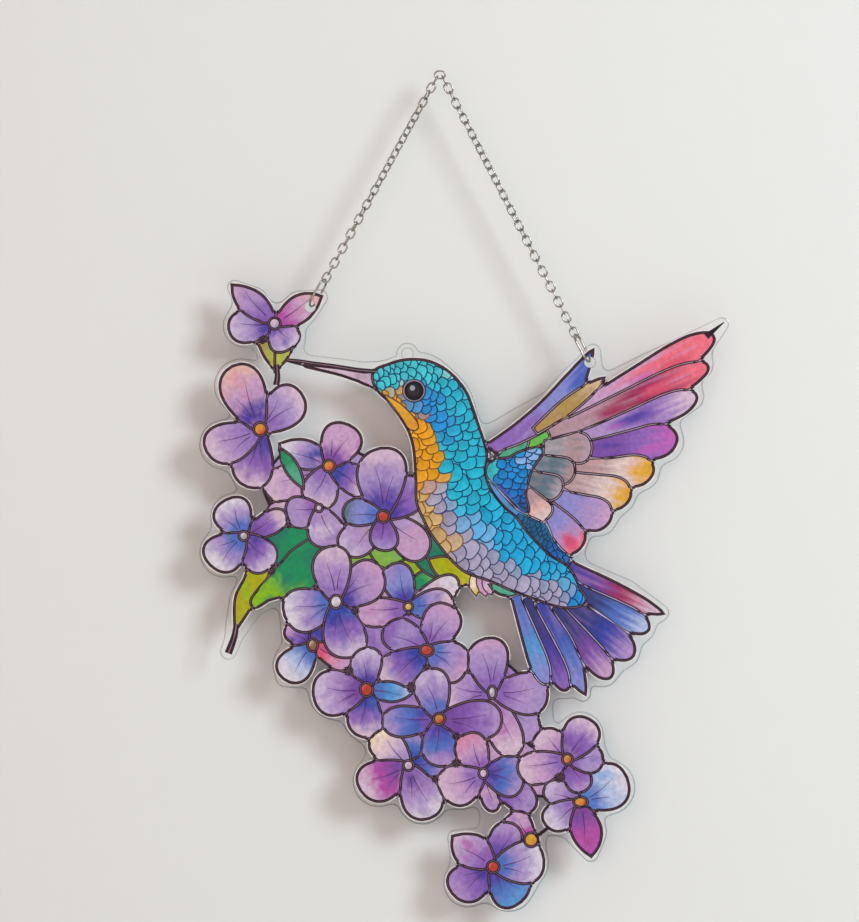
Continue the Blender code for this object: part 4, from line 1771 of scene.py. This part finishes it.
@dataclass
class Plate:
    """The cut sheet: the CAD solid with its edges eased by flame polishing."""

    easing: float = 0.38            # width of the eased edge, in millimetres
    flat: float = 0.5               # edges that turn less than this vanish, in degrees
    rim: float = 60.0               # and those that turn more than this are eased
    face: ClearAcrylic = ClearAcrylic("clear_cast_acrylic_face", "#f4f6f6", 0.12)
    # The edge's grey tint and high alpha are painted shade, added to its own refraction to draw
    # the grey line along the cut edge.
    cut: ClearAcrylic = ClearAcrylic("laser_cut_acrylic_edge", "#b9bdbb", 0.7)

    def build(self) -> bpy.types.Object:
        """Copy the CAD sheet, ease its edges and dress it.

        Returns:
            The finished sheet.
        """
        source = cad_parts["acrylic_plate"]
        mesh = source.data.copy()
        mesh.name = "cut_sheet"
        mesh.materials.clear()
        for name in [a.name for a in mesh.attributes if a.name == "sharp_edge"]:
            mesh.attributes.remove(mesh.attributes[name])
        bm = bmesh.new()
        bm.from_mesh(mesh)
        bmesh.ops.remove_doubles(bm, verts=bm.verts[:], dist=1e-6)
        bmesh.ops.dissolve_limit(bm, angle_limit=math.radians(self.flat), verts=bm.verts[:],
                                 edges=bm.edges[:])
        rims = [e for e in bm.edges if len(e.link_faces) == 2
                and e.calc_face_angle(0) > math.radians(self.rim)
                and any(abs(f.normal.y) > 0.9 for f in e.link_faces)]
        bmesh.ops.bevel(bm, geom=rims, offset=self.easing * MM, segments=2, profile=0.6,
                        affect="EDGES", clamp_overlap=False)
        bm.to_mesh(mesh)
        bm.free()
        sheet = add_object("cut_sheet", mesh)
        deselect_all()
        sheet.select_set(True)
        bpy.context.view_layer.objects.active = sheet
        bpy.ops.object.shade_smooth_by_angle(angle=math.radians(35))
        sheet.data.materials.append(self.face.make())
        sheet.data.materials.append(self.cut.make())
        for polygon in sheet.data.polygons:
            polygon.material_index = int(abs(polygon.normal.y) < 0.98)
        # Clear acrylic lets the light through, so it throws no shadow of its own.
        sheet.visible_shadow = False
        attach(sheet, "root")
        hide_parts("acrylic_plate")
        return sheet


# --- the chain -----------------------------------------------------------------------

@dataclass
class Chain:
    """Connectors, two straight runs of links and the top link, in round wire."""

    link_length: float = 3.9
    link_width: float = 2.9
    link_wire: float = 0.55
    link_grip: float = 0.10         # how far two links of a run overlap
    connector_length: float = 10.4
    connector_wire: float = 0.75
    connector_turn: float = 22.0    # from square to the sheet, in degrees
    run_turn: float = 45.0          # how far a run is turned on itself, in degrees
    sheet: float = 3.0              # thickness of the sheet that the connectors pass
    gap: float = 0.25               # between two pieces that touch
    hole: float = 3.4               # width of the drilled holes
    wire_sides: int = 10
    bend_steps: int = 10
    finish: NickelSteel = NickelSteel()

    def oval(self, length: float, width: float, wire: float) -> bpy.types.Mesh:
        """Model one oval of round wire, from a ring pulled apart at its middle.

        Args:
            length: length outside, in millimetres.
            width: width outside.
            wire: thickness of the wire.

        Returns:
            The oval's mesh, lying in X and Y with its long side along X.
        """
        deselect_all()
        bpy.ops.mesh.primitive_torus_add(
            major_segments=2 * self.bend_steps, minor_segments=self.wire_sides,
            major_radius=(width - wire) / 2 * MM, minor_radius=wire / 2 * MM)
        ring = bpy.context.object
        bm = bmesh.new()
        bm.from_mesh(ring.data)
        near = 1e-7
        cut = [e for e in bm.edges if all(abs(v.co.x) < near for v in e.verts)]
        bmesh.ops.split_edges(bm, edges=cut)
        pull = (length - width) / 2 * MM
        for side in (1, -1):
            half = {v for f in bm.faces if f.calc_center_median().x * side > 0
                    for v in f.verts}
            bmesh.ops.translate(bm, verts=list(half), vec=(side * pull, 0, 0))
        open_edges = [e for e in bm.edges if e.is_boundary]
        for side in (1, -1):
            ends = [e for e in open_edges if e.verts[0].co.y * side > 0]
            bmesh.ops.bridge_loops(bm, edges=ends)
        bmesh.ops.recalc_face_normals(bm, faces=bm.faces[:])
        mesh = bpy.data.meshes.new("wire_oval")
        bm.to_mesh(mesh)
        bm.free()
        bpy.data.objects.remove(ring, do_unlink=True)
        return mesh

    def place(self, start: Vector, along: Vector, distance: float, twist: float) -> Matrix:
        """Find where a link of a run lies.

        Args:
            start: where the run starts, in millimetres.
            along: its direction.
            distance: how far along it the link's middle is.
            twist: how far the link is turned about the run, in degrees.

        Returns:
            The link's place and turn.
        """
        depth = Vector((0, 1, 0))
        turned = Matrix((along, depth.cross(along), depth)).transposed().to_4x4()
        spin = Matrix.Rotation(math.radians(twist), 4, "X")
        return Matrix.Translation((start + along * distance) * MM) @ turned @ spin

    def piece(self, name: str, parts: list[tuple[bpy.types.Mesh, Matrix]], node: str,
              ) -> bpy.types.Object:
        """Join copies of wire ovals into one piece that stands for a CAD node.

        Args:
            name: the piece's name.
            parts: the ovals, each with its place.
            node: the CAD node.

        Returns:
            The piece.
        """
        bm = bmesh.new()
        for mesh, matrix in parts:
            copy = mesh.copy()
            copy.transform(matrix)
            bm.from_mesh(copy)
            bpy.data.meshes.remove(copy)
        mesh = bpy.data.meshes.new(name)
        bm.to_mesh(mesh)
        bm.free()
        mesh.shade_smooth()
        mesh.materials.append(self.material)
        obj = add_object(name, mesh)
        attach(obj, "root")
        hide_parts(node)
        return obj

    def connector(self, side: str, hole: Vector, up: Vector) -> Vector:
        """Build the long oval through a hole.

        Args:
            side: left or right.
            hole: the hole's middle, in millimetres.
            up: the direction of the chain from it.

        Returns:
            The oval's upper inner end, where the chain starts.
        """
        turn = math.radians(self.connector_turn)
        clear = self.sheet / 2 + self.connector_wire / 2 + self.gap
        width = 2 * clear / math.cos(turn) + self.connector_wire
        bend = (width - self.connector_wire) / 2
        half = self.sheet / 2 / math.cos(turn)
        slant = math.asin(half / bend)
        rise = bend * (1 - math.cos(slant))
        wire_rise = self.connector_wire / 2 / math.cos(slant)
        lowest = self.hole / 2 - wire_rise - self.gap - rise
        centre = lowest - self.connector_wire / 2 + self.connector_length / 2
        mesh = self.oval(self.connector_length, width, self.connector_wire)
        matrix = self.place(hole, up, centre, 90 - self.connector_turn)
        self.piece(f"wire_connector_{side}", [(mesh, matrix)], f"connector_{side}")
        return hole + up * (centre + self.connector_length / 2 - self.connector_wire)

    def build(self) -> None:
        """Build the top link, both connectors and both runs."""
        self.material = self.finish.make()
        bend = self.link_width / 2 - self.link_wire
        middle = Vector((0, 0, -bend))
        top = self.oval(self.link_length, self.link_width, self.link_wire)
        self.piece("wire_top_link", [(top, self.place(middle, Vector((1, 0, 0)), 0, 0))],
                   "top_link")
        overlap = self.gap + self.link_wire
        for side, (x, z) in HOLES.items():
            hole = Vector((x, 0, z))
            sign = -1 if side == "left" else 1
            turn = middle + Vector((sign * (self.link_length - self.link_width) / 2, 0, 0))
            down = (hole - turn).normalized()
            end = self.connector(side, hole, -down) + down * overlap
            start = turn + down * (bend - overlap)
            wanted = self.link_length - 2 * self.link_wire - self.link_grip
            span = (end - start).length - self.link_length
            steps = 2 * round((span / wanted - 1) / 2) + 1
            pitch = span / steps
            length = self.link_length + pitch - wanted
            oval = self.oval(length, self.link_width, self.link_wire)
            # The run is turned a little on itself, most of all in its upper third.
            turns = [self.run_turn * math.sin(math.pi * (i / steps) ** 0.6) ** 2
                     for i in range(steps + 1)]
            parts = [(oval, self.place(start, down, self.link_length / 2 + i * pitch,
                                       90 * ((i + 1) % 2) + turns[i]))
                     for i in range(steps + 1)]
            self.piece(f"wire_chain_{side}", parts, f"chain_{side}")
            LOG.info("chain %s: %d links", side, steps + 1)


# --- the stage -----------------------------------------------------------------------

@dataclass(frozen=True)
class SoftLight:
    """A square soft light."""

    name: str
    place: Sequence[float]
    size: float
    power: float
    colour: str

    def hang(self, target: Vector) -> None:
        """Add the light, turned towards a place.

        Args:
            target: the place.
        """
        data = bpy.data.lights.new(self.name, "AREA")
        data.size = self.size
        data.energy = self.power
        data.color = linear(self.colour)[:3]
        lamp = add_object(self.name, data)
        lamp.location = self.place
        lamp.rotation_euler = (target - Vector(self.place)).to_track_quat("-Z", "Y").to_euler()


@dataclass
class Studio:
    """A pale wall close behind the ornament, a pale floor, soft light and the camera."""

    wall_gap: float = 0.0125        # from the sheet's middle to the wall, in metres
    wall_size: float = 4.0
    floor_size: float = 6.0
    floor_height: float = -0.42
    wall_colour: str = "#dfe4e2"
    floor_colour: str = "#d9d9d8"
    room_colour: str = "#fbeee6"
    room_glow: tuple[float, float] = (0.2, 0.58)    # strength in front and overhead
    key: SoftLight = SoftLight("key", (0.84, -1.04, 0.38), 0.48, 11.6, "#eaf8ff")
    fill: SoftLight = SoftLight("fill", (-0.26, -1.4, 0.05), 0.8, 4.6, "#ffd1c5")
    view_centre: tuple[float, float] = (-0.0033, -0.1237)
    view_height: float = 0.2932     # what the frame's height covers at the sheet
    camera_distance: float = 1.2
    sensor: float = 36.0            # height of the camera's sensor, in millimetres

    def build(self) -> None:
        """Build the whole stage."""
        self.walls()
        for light in (self.key, self.fill):
            light.hang(Vector((0, 0, self.view_centre[1])))
        self.room()
        self.camera()

    def surface(self, name: str, colour: str, one_sided: bool) -> bpy.types.Material:
        """Make a matt painted surface.

        Args:
            name: the material's name.
            colour: the paint's colour.
            one_sided: whether it is clear from behind.

        Returns:
            The material.
        """
        material, tree, shader = new_material(name, Base_Color=linear(colour), Roughness=0.85,
                                              Specular_IOR_Level=0.2)
        place = add_node(tree, "ShaderNodeTexCoord").outputs["Object"]
        noise = add_node(tree, "ShaderNodeTexNoise", {"Scale": 60.0, "Detail": 4.0},
                         Vector=place)
        bump = add_node(tree, "ShaderNodeBump", {"Strength": 0.1, "Distance": 0.001},
                        Height=noise.outputs["Fac"])
        tree.links.new(bump.outputs["Normal"], shader.inputs["Normal"])
        if one_sided:
            side = add_node(tree, "ShaderNodeNewGeometry").outputs["Backfacing"]
            clear = add_node(tree, "ShaderNodeBsdfTransparent")
            mix = add_node(tree, "ShaderNodeMixShader", in_0=side,
                           in_1=shader.outputs[0], in_2=clear.outputs[0])
            tree.links.new(mix.outputs[0], tree.nodes["Material Output"].inputs["Surface"])
        return material

    def walls(self) -> None:
        """Stand the wall behind the ornament and lay the floor under it."""
        upright = (math.radians(90), 0, 0)
        middle = (0, self.wall_gap, self.floor_height + self.wall_size / 2)
        wall_paint = self.surface("matt_wall_paint", self.wall_colour, True)
        floor_paint = self.surface("matt_floor_paint", self.floor_colour, False)
        for name, size, place, turn, paint in (
                ("studio_wall", self.wall_size, middle, upright, wall_paint),
                ("studio_floor", self.floor_size, (0, 0, self.floor_height), (0, 0, 0),
                 floor_paint)):
            deselect_all()
            bpy.ops.mesh.primitive_plane_add(size=size, location=place, rotation=turn)
            surface = bpy.context.object
            surface.name = name
            surface.data.materials.append(paint)
            bpy.ops.object.transform_apply(location=True, rotation=True, scale=True)

    def room(self) -> None:
        """Light the room, brighter overhead than in front, so that bright wire shows."""
        world = bpy.data.worlds.new("room_light")
        world.use_nodes = True
        tree = world.node_tree
        sky = tree.nodes["Background"]
        aim = add_node(tree, "ShaderNodeTexCoord").outputs["Generated"]
        height = add_node(tree, "ShaderNodeSeparateXYZ", Vector=aim).outputs["Z"]
        dim, bright = self.room_glow
        glow = add_node(tree, "ShaderNodeMapRange",
                        {"interpolation_type": "SMOOTHSTEP", "From Min": -0.5, "From Max": 0.9,
                         "To Min": dim, "To Max": bright}, Value=height)
        tree.links.new(glow.outputs[0], sky.inputs["Strength"])
        sky.inputs["Color"].default_value = linear(self.room_colour)
        bpy.context.scene.world = world

    def camera(self) -> None:
        """Set the camera square to the sheet."""
        data = bpy.data.cameras.new("camera")
        data.sensor_fit = "VERTICAL"
        data.sensor_height = self.sensor
        data.lens = self.sensor * self.camera_distance / self.view_height
        camera = add_object("camera", data)
        x, z = self.view_centre
        camera.location = (x, -self.camera_distance, z)
        camera.rotation_euler = (math.radians(90), 0, 0)
        bpy.context.scene.camera = camera


def dress_print(films: Iterable[bpy.types.Object]) -> None:
    """Give the two films their inks and fix them to the sheet.

    Args:
        films: the colour film and the leading film.
    """
    for film, finish in zip(films, (UvInk(), LeadingInk())):
        film.data.materials.append(finish.make())
        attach(film, "root")


def main() -> None:
    """Build the ornament's looks and the stage."""
    logging.basicConfig(level=logging.INFO)
    Plate().build()
    LOG.info("sheet built")
    dress_print(Picture().build())
    Chain().build()
    Studio().build()
    bpy.context.scene.view_settings.view_transform = "Standard"


if __name__ == "__main__":
    main()
